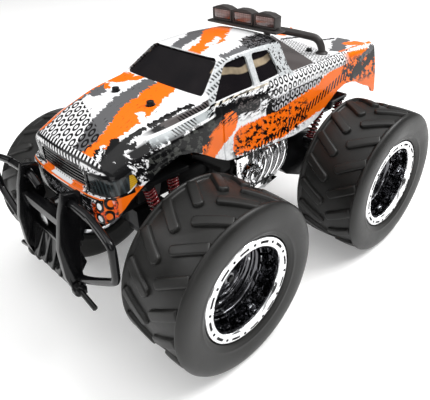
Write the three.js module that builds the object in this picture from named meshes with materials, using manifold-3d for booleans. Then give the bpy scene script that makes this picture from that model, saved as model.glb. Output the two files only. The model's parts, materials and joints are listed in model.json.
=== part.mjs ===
// A 1:10-style radio-controlled monster truck: a printed pickup shell with tinted glazing on a
// plastic tub, front and rear swing axles on coil springs, steered front wheels, a geared motor
// driving a live rear axle, and four big chevron-tread tyres on deep chrome rims.
//
// Millimetres, +Z up, the nose points to -Y and the truck's left side is +X.
// The truck is drawn about the middle of its wheelbase; at the end it's moved so that the origin is
// the middle of the overall box, on the ground.

import * as THREE from "three";
import { mergeVertices } from "three/addons/utils/BufferGeometryUtils.js";
import Module from "manifold-3d";

const wasm = await Module();
wasm.setup();

// ---------------------------------------------------------------- driving dimensions

const TYRE_RADIUS = 75;
const TYRE_WIDTH = 70;
const TYRE_WALL = 3;
const RIM_RADIUS = 46;
const LUGS_PER_ROW = 11;
const LUG_HEIGHT = 3;
const HALF_TRACK = 103.5;
const HALF_WHEELBASE = 107;
const AXLE_HEIGHT = TYRE_RADIUS;
const NOSE_Y = -203; // front of the bull bar
const TAIL_Y = 183; // bottom of the tailgate
const GAP = 0.4; // between pieces that touch on the real truck

const SHELL_WALL = 2;
const KINGPIN_X = 58;
const STEER_ARM = 18;
const SWITCH_X = 25.5;
const PIVOT = { y: 36, z: 90 }; // hinge pins of both swing axles, mirrored front to rear
const STUB_RADIUS = 3;
const HUB_BORE = 3.5;
const HUB_FACE = 4; // outer face of a rim's hub, from the middle of the wheel
const STUB_END = 115.5; // from the middle of the truck to the end of a stub axle
const SPRING_RADIUS = 5;
const SPRING_WIRE = 1.1;

// ---------------------------------------------------------------- solids and meshes

// A closed three.js geometry as a manifold-3d solid.
function solid(geometry) {
  const bare = new THREE.BufferGeometry();
  const source = geometry.index ? geometry.toNonIndexed() : geometry;
  bare.setAttribute("position", source.getAttribute("position"));
  const merged = mergeVertices(bare, 1e-4);
  const made = new wasm.Manifold(
    new wasm.Mesh({
      numProp: 3,
      vertProperties: new Float32Array(merged.attributes.position.array),
      triVerts: new Uint32Array(merged.index.array),
    }),
  );
  if (made.volume() > 0) return made;
  const flipped = new Uint32Array(merged.index.array).reverse();
  return new wasm.Manifold(
    new wasm.Mesh({
      numProp: 3,
      vertProperties: new Float32Array(merged.attributes.position.array),
      triVerts: flipped,
    }),
  );
}

function geometryOf(made) {
  const mesh = made.getMesh();
  const position = new Float32Array(mesh.numVert * 3);
  for (let i = 0; i < mesh.numVert; i++)
    position.set(mesh.vertProperties.subarray(i * mesh.numProp, i * mesh.numProp + 3), i * 3);
  const geometry = new THREE.BufferGeometry();
  geometry.setAttribute("position", new THREE.BufferAttribute(position, 3));
  geometry.setIndex(new THREE.BufferAttribute(new Uint32Array(mesh.triVerts), 1));
  geometry.computeVertexNormals();
  return geometry;
}

const union = (...parts) => parts.flat().reduce((a, b) => a.add(b));

// A box from its lowest to its highest corner.
function block(x0, x1, y0, y1, z0, z1) {
  const geometry = new THREE.BoxGeometry(x1 - x0, y1 - y0, z1 - z0);
  geometry.translate((x0 + x1) / 2, (y0 + y1) / 2, (z0 + z1) / 2);
  return solid(geometry);
}

// A round bar between two points.
function rod(radius, from, to, sides = 12, endRadius = radius) {
  const a = new THREE.Vector3(...from);
  const b = new THREE.Vector3(...to);
  const along = b.clone().sub(a);
  const geometry = new THREE.CylinderGeometry(endRadius, radius, along.length(), sides);
  const turn = new THREE.Quaternion().setFromUnitVectors(
    new THREE.Vector3(0, 1, 0),
    along.clone().normalize(),
  );
  geometry.applyQuaternion(turn);
  geometry.translate(...a.add(b).multiplyScalar(0.5).toArray());
  return solid(geometry);
}

function outline(points) {
  return new THREE.Shape(points.map(([u, v]) => new THREE.Vector2(u, v)));
}

function extruded(points, depth) {
  return new THREE.ExtrudeGeometry(outline(points), { depth, bevelEnabled: false });
}

// Prisms: an outline in the YZ, XZ or XY plane, pushed along the third axis.
function prismX(points, x0, x1) {
  const geometry = extruded(points, x1 - x0);
  geometry.applyMatrix4(new THREE.Matrix4().set(0, 0, 1, x0, 1, 0, 0, 0, 0, 1, 0, 0, 0, 0, 0, 1));
  return solid(geometry);
}

function prismY(points, y0, y1) {
  const geometry = extruded(points, y1 - y0);
  geometry.applyMatrix4(new THREE.Matrix4().set(1, 0, 0, 0, 0, 0, 1, y0, 0, 1, 0, 0, 0, 0, 0, 1));
  return solid(geometry);
}

function prismZ(points, z0, z1) {
  const geometry = extruded(points, z1 - z0);
  geometry.translate(0, 0, z0);
  return solid(geometry);
}

// A solid of revolution about the X axis, from an outline of [x, radius] points.
function latheX(points, segments) {
  const profile = points.map(([x, r]) => new THREE.Vector2(r, x));
  const geometry = new THREE.LatheGeometry(profile, segments);
  geometry.rotateZ(-Math.PI / 2);
  return solid(geometry);
}

// A bent tube through its corner points.
function bentTube(points, radius, sides = 8, steps = 28) {
  const path = new THREE.CatmullRomCurve3(
    points.map((p) => new THREE.Vector3(...p)),
    false,
    "catmullrom",
    0.08,
  );
  const section = new THREE.Shape();
  section.absarc(0, 0, radius, 0, 2 * Math.PI, false);
  const geometry = new THREE.ExtrudeGeometry(section, {
    steps,
    curveSegments: sides / 2,
    extrudePath: path,
  });
  return solid(geometry);
}

const materials = {
  print: { color: 0xe86a1c, roughness: 0.25, metalness: 0 },
  tint: { color: 0x2a2326, roughness: 0.08, metalness: 0 },
  black: { color: 0x101011, roughness: 0.45, metalness: 0 },
  gloss: { color: 0x0b0b0c, roughness: 0.2, metalness: 0 },
  chrome: { color: 0xdadde0, roughness: 0.08, metalness: 1 },
  rubber: { color: 0x232321, roughness: 0.75, metalness: 0 },
  spring: { color: 0x7c1418, roughness: 0.3, metalness: 0.2 },
  lens: { color: 0xb8a8a4, roughness: 0.1, metalness: 0 },
  grey: { color: 0x4a4746, roughness: 0.5, metalness: 0 },
  steel: { color: 0x9a9c9e, roughness: 0.35, metalness: 1 },
  nylon: { color: 0xe8e6dc, roughness: 0.5, metalness: 0 },
  board: { color: 0x1d5a36, roughness: 0.5, metalness: 0 },
  battery: { color: 0x2c50a0, roughness: 0.4, metalness: 0 },
};

function piece(name, made, look) {
  const mesh = new THREE.Mesh(geometryOf(made), new THREE.MeshStandardMaterial(materials[look]));
  mesh.name = name;
  return mesh;
}

// ---------------------------------------------------------------- pickup shell

// Cross-sections of the shell, from the middle of the top down one side:
// y, height at the middle, then [half width, height] of the panel edge, the rail, the belt,
// the shoulder crease, the widest line and the skirt.
const SKIRT_Z = 112;
const SECTIONS = [
  [-184, 168.5, [27, 168], [33, 167], [45, 164.5], [54, 160], [57.5, 148], [56, SKIRT_Z]],
  [-160, 177.5, [29, 177.2], [37, 176.3], [49.5, 174], [58, 168.5], [60.5, 150], [59, SKIRT_Z]],
  [-140, 185.3, [30, 185], [43, 184.3], [52.5, 180.5], [61, 174.5], [61.5, 152], [60, SKIRT_Z]],
  [-107, 193, [31, 192.8], [50, 192], [55.5, 186], [62.4, 179], [62.6, 157], [60.5, SKIRT_Z]],
  [-73, 196.3, [34, 196.2], [54.5, 195], [58, 186.5], [61.8, 180], [61, 158], [60, SKIRT_Z]],
  [-42, 221, [30, 220.5], [42, 218.5], [55, 188.5], [58.5, 183], [60.5, 160], [60, SKIRT_Z]],
  [-6, 224, [31, 223], [43, 219.5], [55, 189], [58.5, 183.5], [60.5, 160], [60, SKIRT_Z]],
  [34, 222, [30, 221], [41, 217.5], [55, 190], [58.5, 184.5], [60.5, 160], [60, SKIRT_Z]],
  [41, 189, [40, 189], [47.5, 189], [53, 191.5], [58.8, 188], [60.8, 162], [60, SKIRT_Z]],
  [100, 189, [44, 189], [48.5, 189], [53, 191.8], [59, 188], [61.2, 164], [60, SKIRT_Z]],
  [166, 189, [44, 189], [48.5, 189], [53.5, 192], [59.5, 188], [62, 165], [61.5, SKIRT_Z]],
  [190, 189, [44, 189], [48.5, 189], [53.5, 192], [59.5, 188], [62, 165], [61.5, SKIRT_Z]],
];
const CAB_FRONT = 4; // the section at the foot of the windscreen
const CAB_REAR = 7; // the section at the back of the roof

// The loft through the sections, inset on every side by the given depth.
function shellLoft(inset) {
  const rings = SECTIONS.map(([y, crown, ...side], row) => {
    const right = side.map(([x, z], i) => [
      x - inset * Math.min(1, 0.4 + 0.2 * i),
      i === side.length - 1 ? z - 10 * Math.sign(inset) : z - inset * Math.max(0, 1 - 0.22 * i),
    ]);
    const half = [[0, crown - inset], ...right];
    const left = half.slice(1).map(([x, z]) => [-x, z]);
    const shift = row <= CAB_FRONT + 1 ? inset : row >= CAB_REAR ? -inset : 0;
    return { y: y + shift, ring: [...half.reverse(), ...left] };
  });
  const count = rings[0].ring.length;
  const points = rings.flatMap(({ y, ring }) => ring.map(([x, z]) => [x, y, z]));
  const triangles = [];
  for (let i = 0; i + 1 < rings.length; i++)
    for (let j = 0; j < count; j++) {
      const k = (j + 1) % count;
      const [a, b, c, d] = [i * count + j, i * count + k, (i + 1) * count + k, (i + 1) * count + j];
      triangles.push(a, b, c, a, c, d);
    }
  for (const [i, flip] of [
    [0, true],
    [rings.length - 1, false],
  ]) {
    points.push([0, rings[i].y, 150]);
    const hub = points.length - 1;
    for (let j = 0; j < count; j++) {
      const [a, b] = [i * count + j, i * count + ((j + 1) % count)];
      triangles.push(...(flip ? [hub, b, a] : [hub, a, b]));
    }
  }
  const geometry = new THREE.BufferGeometry();
  geometry.setAttribute("position", new THREE.Float32BufferAttribute(points.flat(), 3));
  geometry.setIndex(triangles);
  return solid(geometry);
}

// The nose seen from above: a shallow bow with rounded corners, moved forward by `ahead`.
function noseOutline(ahead, half) {
  const front = [];
  for (let i = -6; i <= 6; i++) {
    const t = i / 6;
    front.push([t * half, -171 - ahead + 5 * t * t + 8 * Math.pow(Math.abs(t), 7)]);
  }
  return [...front, [half, 200], [-half, 200]];
}

// The skirt seen from the side: everything below this line is cut away, wheel arches included.
const FRONT_ARCH = [[-158, 132.5], [-148, 141], [-136, 151], [-122, 161.5], [-107, 166], [-92, 163],
  [-79, 155], [-67, 147], [-54, 140]];
const REAR_ARCH = [[60, 133], [75, 139], [90, 149], [103, 157], [116, 161], [132, 160], [146, 154],
  [160, 146.5], [172, 138.5]];
const SKIRT_LINE = [[-210, 126], [-166, 128], ...FRONT_ARCH, [-38, 137.5], [36, 131.5], ...REAR_ARCH,
  [TAIL_Y + 9, 133]];

const below = (line, x0, x1) => prismX([[-210, 60], ...line, [TAIL_Y + 9, 60]], x0, x1);

// The tailgate leans back: everything behind this plane is cut away.
const behindTail = (back) =>
  prismX([[170.5 + back, 200], [TAIL_Y + back, 139], [TAIL_Y + back, 100], [230, 100], [230, 200]], -90, 90);

const FRONT_WINDOW = [[-62, 191], [-38.5, 215], [-14, 216.5], [-12.5, 191.5]];
const REAR_WINDOW = [[-6, 191.7], [-7.5, 216.5], [16, 214.5], [22, 193]];
const WINDSCREEN = [[-46, 198.8], [46, 198.8], [38.5, 217], [-38.5, 217]];
const BACK_WINDOW = [[-35, 197], [35, 197], [32, 213], [-32, 213]];
const HEADLAMP = { y0: -176, y1: -143, z0: 150.5, z1: 165.5, x0: 34, x1: 70 };
const GRILLE = { half: 31, z0: 153.5, z1: 167.5 };
const FRONT_POST_TOP = 196.5;
const REAR_POST_TOP = 191.5;
const POST_HOLES = [[23.5, -100], [-23.5, -100], [21, 108], [-21, 108]];
const POST_RADIUS = 3;

const shellOuter = shellLoft(0)
  .intersect(prismZ(noseOutline(0, 63), 60, 260))
  .subtract(behindTail(0));
const shellInner = shellLoft(SHELL_WALL)
  .intersect(prismZ(noseOutline(-SHELL_WALL, 63), 60, 260))
  .subtract(behindTail(-SHELL_WALL));

const lampBox = (grow, side) => {
  const { x0, x1, y0, y1, z0, z1 } = HEADLAMP;
  const slant = prismX(
    [[y0, z0 - grow], [y1 - 6 + grow, z0 - grow], [y1 + grow, z1 - 4], [y1 - 4 + grow, z1 + grow], [y0, z1 + grow]],
    side > 0 ? x0 - grow : -x1,
    side > 0 ? x1 : -x0 + grow,
  );
  return slant;
};

function bodyShell() {
  const bumper = prismZ(noseOutline(5, 58), 127, 151).subtract(block(-90, 90, -160, 210, 60, 260));
  const hollow = shellInner.subtract(block(-90, 90, -210, -166, 60, 152));
  let shell = union(shellOuter, bumper).subtract(hollow).subtract(below(SKIRT_LINE, -90, 90));
  shell = shell
    .subtract(prismX(FRONT_WINDOW, -90, 90))
    .subtract(prismX(REAR_WINDOW, -90, 90))
    .subtract(prismY(WINDSCREEN, -90, -30))
    .subtract(prismY(BACK_WINDOW, 25, 50));
  shell = shell.subtract(lampBox(GAP, 1)).subtract(lampBox(GAP, -1));
  shell = shell.subtract(block(-GRILLE.half, GRILLE.half, -190, -160, GRILLE.z0, GRILLE.z1));
  for (const [x, y] of POST_HOLES) shell = shell.subtract(rod(POST_RADIUS + 0.7, [x, y, 180], [x, y, 200]));
  return shell;
}

function headlamp(side) {
  const lamp = shellOuter.intersect(lampBox(0, side));
  return lamp.subtract(shellLoft(5).intersect(prismZ(noseOutline(-5, 63), 60, 260)));
}

function grille() {
  const { half, z0, z1 } = GRILLE;
  const frame = block(-half + GAP, half - GAP, -167, -163.4, z0 + GAP, z1 - GAP);
  const slats = [];
  const pitch = (z1 - z0) / 5;
  for (let i = 1; i < 5; i++) {
    const z = z0 + i * pitch;
    slats.push(block(-half + 3, half - 3, -169.4, -166, z - 0.7, z + 0.7));
  }
  return union(frame, slats, block(-1.5, 1.5, -169.4, -166, z0 + 2, z1 - 2));
}

function glazing() {
  const inset = SHELL_WALL + GAP;
  const cab = block(-60, 60, -74, 37, 190.3, 230);
  return shellLoft(inset).intersect(cab).subtract(shellLoft(inset + 1.4));
}

// ---------------------------------------------------------------- light bar and roll bar

const BAR = { y0: 29, y1: 38, z0: 227, z1: 240, half: 39.5 };

function lightBarHousing() {
  const { y0, y1, z0, z1, half } = BAR;
  const base = block(-43, 43, y0 - 3, y1 + 1, 224.4, 226.2);
  const feet = [-26, 0, 26].map((x) => block(x - 8, x + 8, y0 + 1, y1 - 2, 226, z0 + 1));
  let housing = union(base, feet);
  for (const x of [-26.4, 0, 26.4]) {
    const pod = prismY(
      [[x - 12.4, z0], [x + 12.4, z0], [x + 12.4, z1 - 2.4], [x + 6, z1 - 0.4], [x, z1], [x - 6, z1 - 0.4],
        [x - 12.4, z1 - 2.4]],
      y0 + 0.5,
      y1,
    );
    housing = housing.add(pod);
  }
  housing = housing.add(block(-half + 4, half - 4, y0 + 3, y1 - 1, z0 + 2, z1 - 5));
  for (const x of [-26.4, 0, 26.4])
    housing = housing.subtract(block(x - 10.8, x + 10.8, y0 - 1, y0 + 3.2, z0 + 1.6, z1 - 3));
  return housing;
}

function lightBarLens(x) {
  const { y0, z0, z1 } = BAR;
  const w = 10.8 - GAP;
  const plan = [[x - w, y0 + 2.8], [x - w, y0 + 0.8], [x - w / 2, y0 - 0.3], [x + w / 2, y0 - 0.3], [x + w, y0 + 0.8],
    [x + w, y0 + 2.8]];
  return prismZ(plan, z0 + 1.6 + GAP, z1 - 3 - GAP);
}

function rollBar() {
  const foot = [36, 109, 190];
  const path = [foot, [35.5, 107.5, 196], [33, 105, 202], [26, 104, 204.5], [0, 104, 205.5]];
  const mirrored = path.slice(0, -1).reverse().map(([x, y, z]) => [-x, y, z]);
  return bentTube([...path, ...mirrored], 4, 8, 20);
}

// ---------------------------------------------------------------- front bull bar

const RAIL = { y: -186, z: 148, radius: 3.4 };
const BAR_PLATE = [[-177, 154], [-190, 157], [-196, 142], [-203, 114], [-203, 88], [-198, 66], [-189, 64], [-189, 88],
  [-186, 112], [-177, 126]];
const HOOP = [[58, -187, 147], [72, -189.5, 144.5], [85, -191.5, 137], [83, -191.5, 106], [60, -192.5, 92], [35.6, -193, 84]];

function bumperFrame() {
  const plates = [-1, 1].map((s) => prismX(BAR_PLATE, s * 32 - 2.5, s * 32 + 2.5));
  const beams = [
    block(-33, 33, -195, -187, 127, 134),
    prismX([[-190, 104], [-186, 104], [-183, 92], [-196, 76], [-200, 76], [-194, 92]], -33, 33),
    block(-26, 26, -193, -181, 103, 107),
  ];
  const brackets = [-1, 1].map((s) => block(s * 20 - 4, s * 20 + 4, -186, -152, 116, 123));
  const ribs = [-18, -6, 6, 18].map((x) => prismX([[-186, 105], [-200, 78], [-202, 80], [-190, 105]], x - 1.2, x + 1.2));
  const cross = block(-26, 26, -186, -178, 107, 124);
  const hooks = [-1, 1].map((s) =>
    union(
      rod(5.5, [s * 34, -196, 74], [s * 39.5, -196, 74], 10),
      rod(2.2, [s * 38, -196, 73], [s * 60, -197, 70], 6),
    ),
  );
  const railRoom = rod(RAIL.radius + 2 * GAP, [-50, RAIL.y, RAIL.z], [50, RAIL.y, RAIL.z], 10);
  return union(plates, beams, brackets, ribs, cross, hooks).subtract(railRoom);
}

function bullBar() {
  const half = [[62, -186.5, 147], [41, RAIL.y, RAIL.z], [26, RAIL.y, RAIL.z], [16, -186, 143]];
  const other = half.map(([x, y, z]) => [-x, y, z]).reverse();
  const rail = bentTube([...half, ...other], RAIL.radius, 8, 18);
  const hoops = [-1, 1].map((s) => bentTube(HOOP.map(([x, y, z]) => [s * x, y, z]), 3, 8, 14));
  return union(rail, hoops);
}

function fogLamp() {
  return latheX([[0, 0], [0, 7.4], [4, 7.4], [6, 5.5], [6.6, 3], [6.8, 0]], 16);
}

// ---------------------------------------------------------------- chassis

const FLOOR_Z = 96; // underside of the middle of the tub
const END_FLOOR_Z = 113; // underside of its raised ends
const TUB_TOP = 128;

const mirrorY = (points) => points.map(([y, z]) => [-y, z]);

function chassisTub() {
  const middle = block(-33, 33, -46, 46, FLOOR_Z, TUB_TOP).subtract(
    block(-30.5, 30.5, -43.5, 43.5, FLOOR_Z + 2.5, TUB_TOP + 5),
  );
  const end = (s) => {
    const [a, b] = s > 0 ? [43.8, 150] : [-150, -43.8];
    const inner = s > 0 ? [46, 147.5] : [-147.5, -46];
    return block(-27, 27, a, b, END_FLOOR_Z, TUB_TOP).subtract(
      block(-24.5, 24.5, ...inner, END_FLOOR_Z + 2.5, TUB_TOP + 5),
    );
  };
  const ears = (s) =>
    [-1, 1].map((side) => {
      const ear = [[PIVOT.y - 6, PIVOT.z - 5], [PIVOT.y + 6, PIVOT.z - 5], [PIVOT.y + 9, FLOOR_Z + 1], [PIVOT.y - 9, FLOOR_Z + 1]];
      const x = side * 39;
      return union(
        prismX(s > 0 ? ear : mirrorY(ear), x - 2, x + 2),
        block(Math.min(x, side * 32) - 2, Math.max(x, side * 32) + 2, s * PIVOT.y - 9, s * PIVOT.y + 9, FLOOR_Z, FLOOR_Z + 6),
      );
    });
  const pin = (s) => rod(2, [-41, s * PIVOT.y, PIVOT.z], [41, s * PIVOT.y, PIVOT.z], 12);
  const posts = POST_HOLES.map(([x, y]) => {
    const top = y < 0 ? FRONT_POST_TOP : REAR_POST_TOP;
    return rod(POST_RADIUS, [x, y, END_FLOOR_Z + 1], [x, y, top], 10);
  });
  const arches = [-1, 1].map((side) =>
    prismX([[-52, TUB_TOP], [-84, 150], [-84, 153], [-40, 134], [-40, TUB_TOP - 6], [-52, TUB_TOP - 6]],
      side * 38 - 12, side * 38 + 12),
  );
  let tub = union(middle, end(1), end(-1), ears(1), ears(-1), pin(1), pin(-1), posts, arches);
  tub = tub.subtract(block(-20.5, 20.5, -26.5, 26.5, FLOOR_Z - 1, FLOOR_Z + 5));
  return tub.subtract(block(SWITCH_X - 2.5, SWITCH_X + 2.5, -5, 5, FLOOR_Z - 1, FLOOR_Z + 5));
}

const batteryCover = () =>
  union(block(-20, 20, -26, 26, 0, 2), block(-6, 6, 21, 25, -1.6, 0.4));

const batteryPack = () => {
  const cells = [-1, 1].map((s) => rod(7, [s * 7.4, -24, 0], [s * 7.4, 24, 0], 12));
  return union(cells, block(-7.4, 7.4, -24, 24, -6.5, 6.5));
};

const circuitBoard = () =>
  union(
    block(-20, 20, -14, 14, 0, 1.6),
    block(-12, -2, -8, 4, 1.5, 4),
    rod(3, [10, 5, 1.5], [10, 5, 9], 10),
    block(4, 16, -9, -3, 1.5, 6),
  );

const powerSwitch = () => union(block(-2, 2, -2.6, 2.6, -2.4, 1), block(-4, 4, -3.4, 3.4, 2.9, 4.4), block(-2, 2, -2.6, 2.6, 0.5, 3.5));

// Chrome engine side: block, filter drum, header pipes and a rocker cover with fins.
function engineSide() {
  const blockShape = [[-25, 122], [-25, 106], [-14, 86], [6, 79], [34, 83], [46, 97], [46, 122]];
  const base = prismX(blockShape, 35, 44);
  const drum = rod(11, [43, -8, 101], [49.5, -8, 101], 16);
  const hub = rod(5, [49, -8, 101], [51, -8, 101], 10);
  const pipes = [8, 18, 28, 38].map((y) => rod(3.4, [45, y, 122], [46, y - 5, 92], 8));
  const fins = [4, 13, 22, 31, 40].map((y) => block(43, 50, y - 2, y + 2, 112, 122));
  const sump = prismX([[-6, 84], [10, 79], [30, 83], [20, 90], [0, 90]], 43, 48);
  const earRoom = block(33, 41.4, 26, 47, 78, 104);
  return union(base, drum, hub, pipes, fins, sump).subtract(earRoom);
}

// ---------------------------------------------------------------- coil springs and towers

const SPRINGS = {
  front_outer: { foot: [50, -121, 106], top: [50, -130, 144] },
  front_inner: { foot: [50, -104, 106], top: [50, -106, 144] },
  rear_inner: { foot: [50, 79, 110], top: [52, 92, 139] },
  rear_outer: { foot: [50, 122, 104], top: [51, 126, 139] },
};

function coil(length) {
  const turns = 5;
  const perTurn = 6;
  class Helix extends THREE.Curve {
    getPoint(t) {
      const a = t * turns * 2 * Math.PI;
      const r = SPRING_RADIUS - SPRING_WIRE;
      return new THREE.Vector3(r * Math.cos(a), r * Math.sin(a), SPRING_WIRE + t * (length - 2 * SPRING_WIRE));
    }
  }
  const section = new THREE.Shape();
  section.absarc(0, 0, SPRING_WIRE, 0, 2 * Math.PI, false);
  return solid(
    new THREE.ExtrudeGeometry(section, { steps: turns * perTurn, curveSegments: 2, extrudePath: new Helix() }),
  );
}

const between = (a, b, t) => a.map((v, i) => v + (b[i] - v) * t);

// A spring cup and spigot at one end of a spring, set back along its axis.
function seat({ foot, top }, atTop, side) {
  const flip = (p) => [side * p[0], p[1], p[2]];
  const [near, far] = atTop ? [top, foot] : [foot, top];
  const span = Math.hypot(...near.map((v, i) => v - far[i]));
  const along = (mm) => flip(between(near, far, mm / span));
  return union(
    rod(SPRING_RADIUS + 1.4, along(-3.4), along(-GAP), 10),
    rod(SPRING_RADIUS - 2 * SPRING_WIRE - 0.5, along(-1), along(9), 6),
  );
}

function shockTower(names, plate, legs, knob) {
  const parts = [];
  for (const side of [-1, 1])
    for (const name of names) parts.push(seat(SPRINGS[name], true, side));
  const { y0, y1, z0, z1 } = plate;
  parts.push(
    POST_HOLES.reduce((made, [x, y]) => made.subtract(rod(POST_RADIUS + 0.6, [x, y, z0 - 5], [x, y, z1 + 5], 10)),
      block(-57, 57, y0, y1, z0, z1)),
  );
  for (const side of [-1, 1])
    parts.push(prismY([[side * 27.6, TUB_TOP - 10], [side * 31, TUB_TOP - 10], [side * 40, z0 + 1], [side * 32, z0 + 1]], ...legs));
  if (knob) parts.push(rod(knob.r, [-62, knob.y, knob.z], [62, knob.y, knob.z], 10));
  return union(parts);
}

const frontTower = () => shockTower(["front_outer", "front_inner"], { y0: -136, y1: -94, z0: 146.5, z1: 150 }, [-128, -106]);
const rearTower = () =>
  shockTower(["rear_inner", "rear_outer"], { y0: 86, y1: 132, z0: 141.5, z1: 145 }, [94, 124], { r: 4.2, y: 95, z: 144 });

// ---------------------------------------------------------------- front swing axle

const yA = HALF_WHEELBASE;
const zA = AXLE_HEIGHT;

function frontAxle() {
  const beam = block(-51, 51, -yA - 6, -yA + 6, zA - 6, zA + 6);
  const ears = [-1, 1].map((s) =>
    union(
      block(s > 0 ? 46 : -KINGPIN_X - 5, s > 0 ? KINGPIN_X + 5 : -46, -yA - 6, -yA + 6, zA + 6 + GAP, zA + 11),
      block(s > 0 ? 46 : -KINGPIN_X - 5, s > 0 ? KINGPIN_X + 5 : -46, -yA - 6, -yA + 6, zA - 11, zA - 6 - GAP),
      block(s > 0 ? 45 : -50, s > 0 ? 50 : -45, -yA - 6, -yA + 6, zA - 11, zA + 11),
    ).subtract(rod(2.8, [s * KINGPIN_X, -yA, zA - 20], [s * KINGPIN_X, -yA, zA + 20], 12)),
  );
  const arms = [-1, 1].map((s) =>
    prismX([[-yA + 5, zA - 5], [-yA + 5, zA + 5], [-PIVOT.y - 2, PIVOT.z + 4], [-PIVOT.y, PIVOT.z - 4]], s * 27 - 3, s * 27 + 3),
  );
  const tube = rod(4.6, [-36.4, -PIVOT.y, PIVOT.z], [36.4, -PIVOT.y, PIVOT.z], 12);
  const perches = [-1, 1].map((s) =>
    union(
      prismX([[-yA - 6, zA + 4], [-yA - 18, 97], [-yA - 18, 103], [-99, 103], [-99, 97], [-yA + 6, zA + 4]],
        s * 48.6 - 3.8, s * 48.6 + 3.8),
      seat(SPRINGS.front_outer, false, s),
      seat(SPRINGS.front_inner, false, s),
    ),
  );
  const drum = rod(9, [-10, -yA, zA - 3], [10, -yA, zA - 3], 14);
  return union(beam, ears, arms, tube, perches, drum).subtract(
    rod(2.4, [-40, -PIVOT.y, PIVOT.z], [40, -PIVOT.y, PIVOT.z], 12),
  );
}

// Drawn about its kingpin for the left side.
function knuckle() {
  return union(
    rod(5, [0, 0, -5.5], [0, 0, 5.5], 12),
    rod(2.3, [0, 0, -12.5], [0, 0, 12.5], 12),
    rod(STUB_RADIUS, [2, 0, 0], [STUB_END - KINGPIN_X, 0, 0], 12),
    rod(5, [4, 0, 0], [30, 0, 0], 12),
    block(-3, 3, 3, STEER_ARM + 2.5, -5.2, -1.6),
    rod(1.5, [0, STEER_ARM, -2], [0, STEER_ARM, -9.5], 8),
  );
}

// Drawn about the middle of the rod: a bar with slots for the two steering pins and a rack lug.
function tieRod() {
  const bar = union(block(-63, 63, -3.6, 3.2, -8.6, -6), block(-5, 5, -2, 2, -7, 5.6));
  return [-KINGPIN_X, KINGPIN_X].reduce(
    (made, x) => made.subtract(block(x - 2, x + 2, -2.8, 2.2, -12, 0)),
    bar,
  );
}

const steeringServo = () =>
  union(
    block(-15, 15, -14, 12, 6.6, 24),
    rod(7, [0, 0, 23.5], [0, 0, 27], 12),
    block(-20, 20, -8, 8, 6.6, 9),
    block(-11, 11, 11, 23, 6.6, 18),
  );

// ---------------------------------------------------------------- rear swing axle

const GEAR_MODULE = 1.25;
const TEETH = { axle: 24, idlerSmall: 10, idlerLarge: 22, pinion: 8 };
const pitchRadius = (teeth) => (teeth * GEAR_MODULE) / 2;
const IDLER_LEAN = 0.27; // radians: how far the gear train rises towards the motor
const IDLER = {
  y: yA - (pitchRadius(TEETH.axle) + pitchRadius(TEETH.idlerSmall)) * Math.cos(IDLER_LEAN),
  z: zA + (pitchRadius(TEETH.axle) + pitchRadius(TEETH.idlerSmall)) * Math.sin(IDLER_LEAN),
};
const MOTOR = {
  y: IDLER.y - (pitchRadius(TEETH.idlerLarge) + pitchRadius(TEETH.pinion)) * Math.cos(IDLER_LEAN),
  z: IDLER.z + (pitchRadius(TEETH.idlerLarge) + pitchRadius(TEETH.pinion)) * Math.sin(IDLER_LEAN),
};

// A spur gear about the X axis with straight-sided teeth; `turn` sets its first tooth, in teeth.
function gear(teeth, x0, x1, turn) {
  const r = pitchRadius(teeth);
  const tip = r + 0.72 * GEAR_MODULE;
  const root = r - 1.1 * GEAR_MODULE;
  const step = (2 * Math.PI) / teeth;
  const points = [];
  for (let i = 0; i < teeth; i++)
    for (const [radius, offset] of [[root, -0.3], [tip, -0.1], [tip, 0.1], [root, 0.3]]) {
      const a = (i + turn + offset) * step;
      points.push([radius * Math.cos(a), radius * Math.sin(a)]);
    }
  return prismX(points, x0, x1);
}

const CASE = [[52, 78], [54, 104], [86, 107], [122, 98], [127.5, 88], [127.5, 64], [118, 53], [94, 53], [62, 68]];
const CASE_IN = [[55, 80], [57, 101.2], [86, 104.2], [120.5, 95.6], [124.8, 87], [124.8, 65.4], [116.6, 55.8],
  [95, 55.8], [64, 70.5]];

function axleTube(side) {
  const outer = union(
    rod(8, [side * 35, yA, zA], [side * 64, yA, zA], 12),
    prismX([[yA - 6, zA], [yA + 6, zA], [127, 97], [127, 101], [112, 101], [104, 90], [86, 104], [84, 107.2], [73, 107.2],
      [73, 102]], side * 50 - 4, side * 50 + 4),
    seat(SPRINGS.rear_inner, false, side),
    seat(SPRINGS.rear_outer, false, side),
  );
  return outer;
}

function gearboxCase() {
  const shell = prismX(CASE, -36, 24).subtract(prismX(CASE_IN, -33, 25));
  const arms = [-1, 1].map((s) => {
    const arm = [[60, 74], [60, 95], [PIVOT.y + 2, PIVOT.z + 4], [PIVOT.y - 3, PIVOT.z], [PIVOT.y, PIVOT.z - 4.6], [50, 76]];
    return s < 0 ? prismX(arm, -36, -31) : prismX(arm, 19, 24);
  });
  const tube = rod(4.6, [-36.4, PIVOT.y, PIVOT.z], [36.4, PIVOT.y, PIVOT.z], 12);
  const bore = (r, y, z) => rod(r, [-80, y, z], [80, y, z], 12);
  return union(shell, arms, tube, axleTube(-1))
    .subtract(bore(2.4, PIVOT.y, PIVOT.z))
    .subtract(bore(3.5, yA, zA));
}

function gearboxCover() {
  const plate = prismX(CASE, 24 + GAP, 36).subtract(prismX(CASE_IN, 24, 33));
  return union(plate, axleTube(1)).subtract(rod(3.5, [20, yA, zA], [80, yA, zA], 12));
}

const driveMotor = () =>
  union(rod(10.6, [-30.2, 0, 0], [-4, 0, 0], 16), rod(4, [-5, 0, 0], [-2, 0, 0], 10), rod(1, [-3, 0, 0], [17, 0, 0], 8));

const motorPinion = () => gear(TEETH.pinion, 10.4, 16.6, meshTurn(TEETH.pinion, -IDLER_LEAN)).subtract(rod(1.4, [0, 0, 0], [30, 0, 0], 8));

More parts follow.
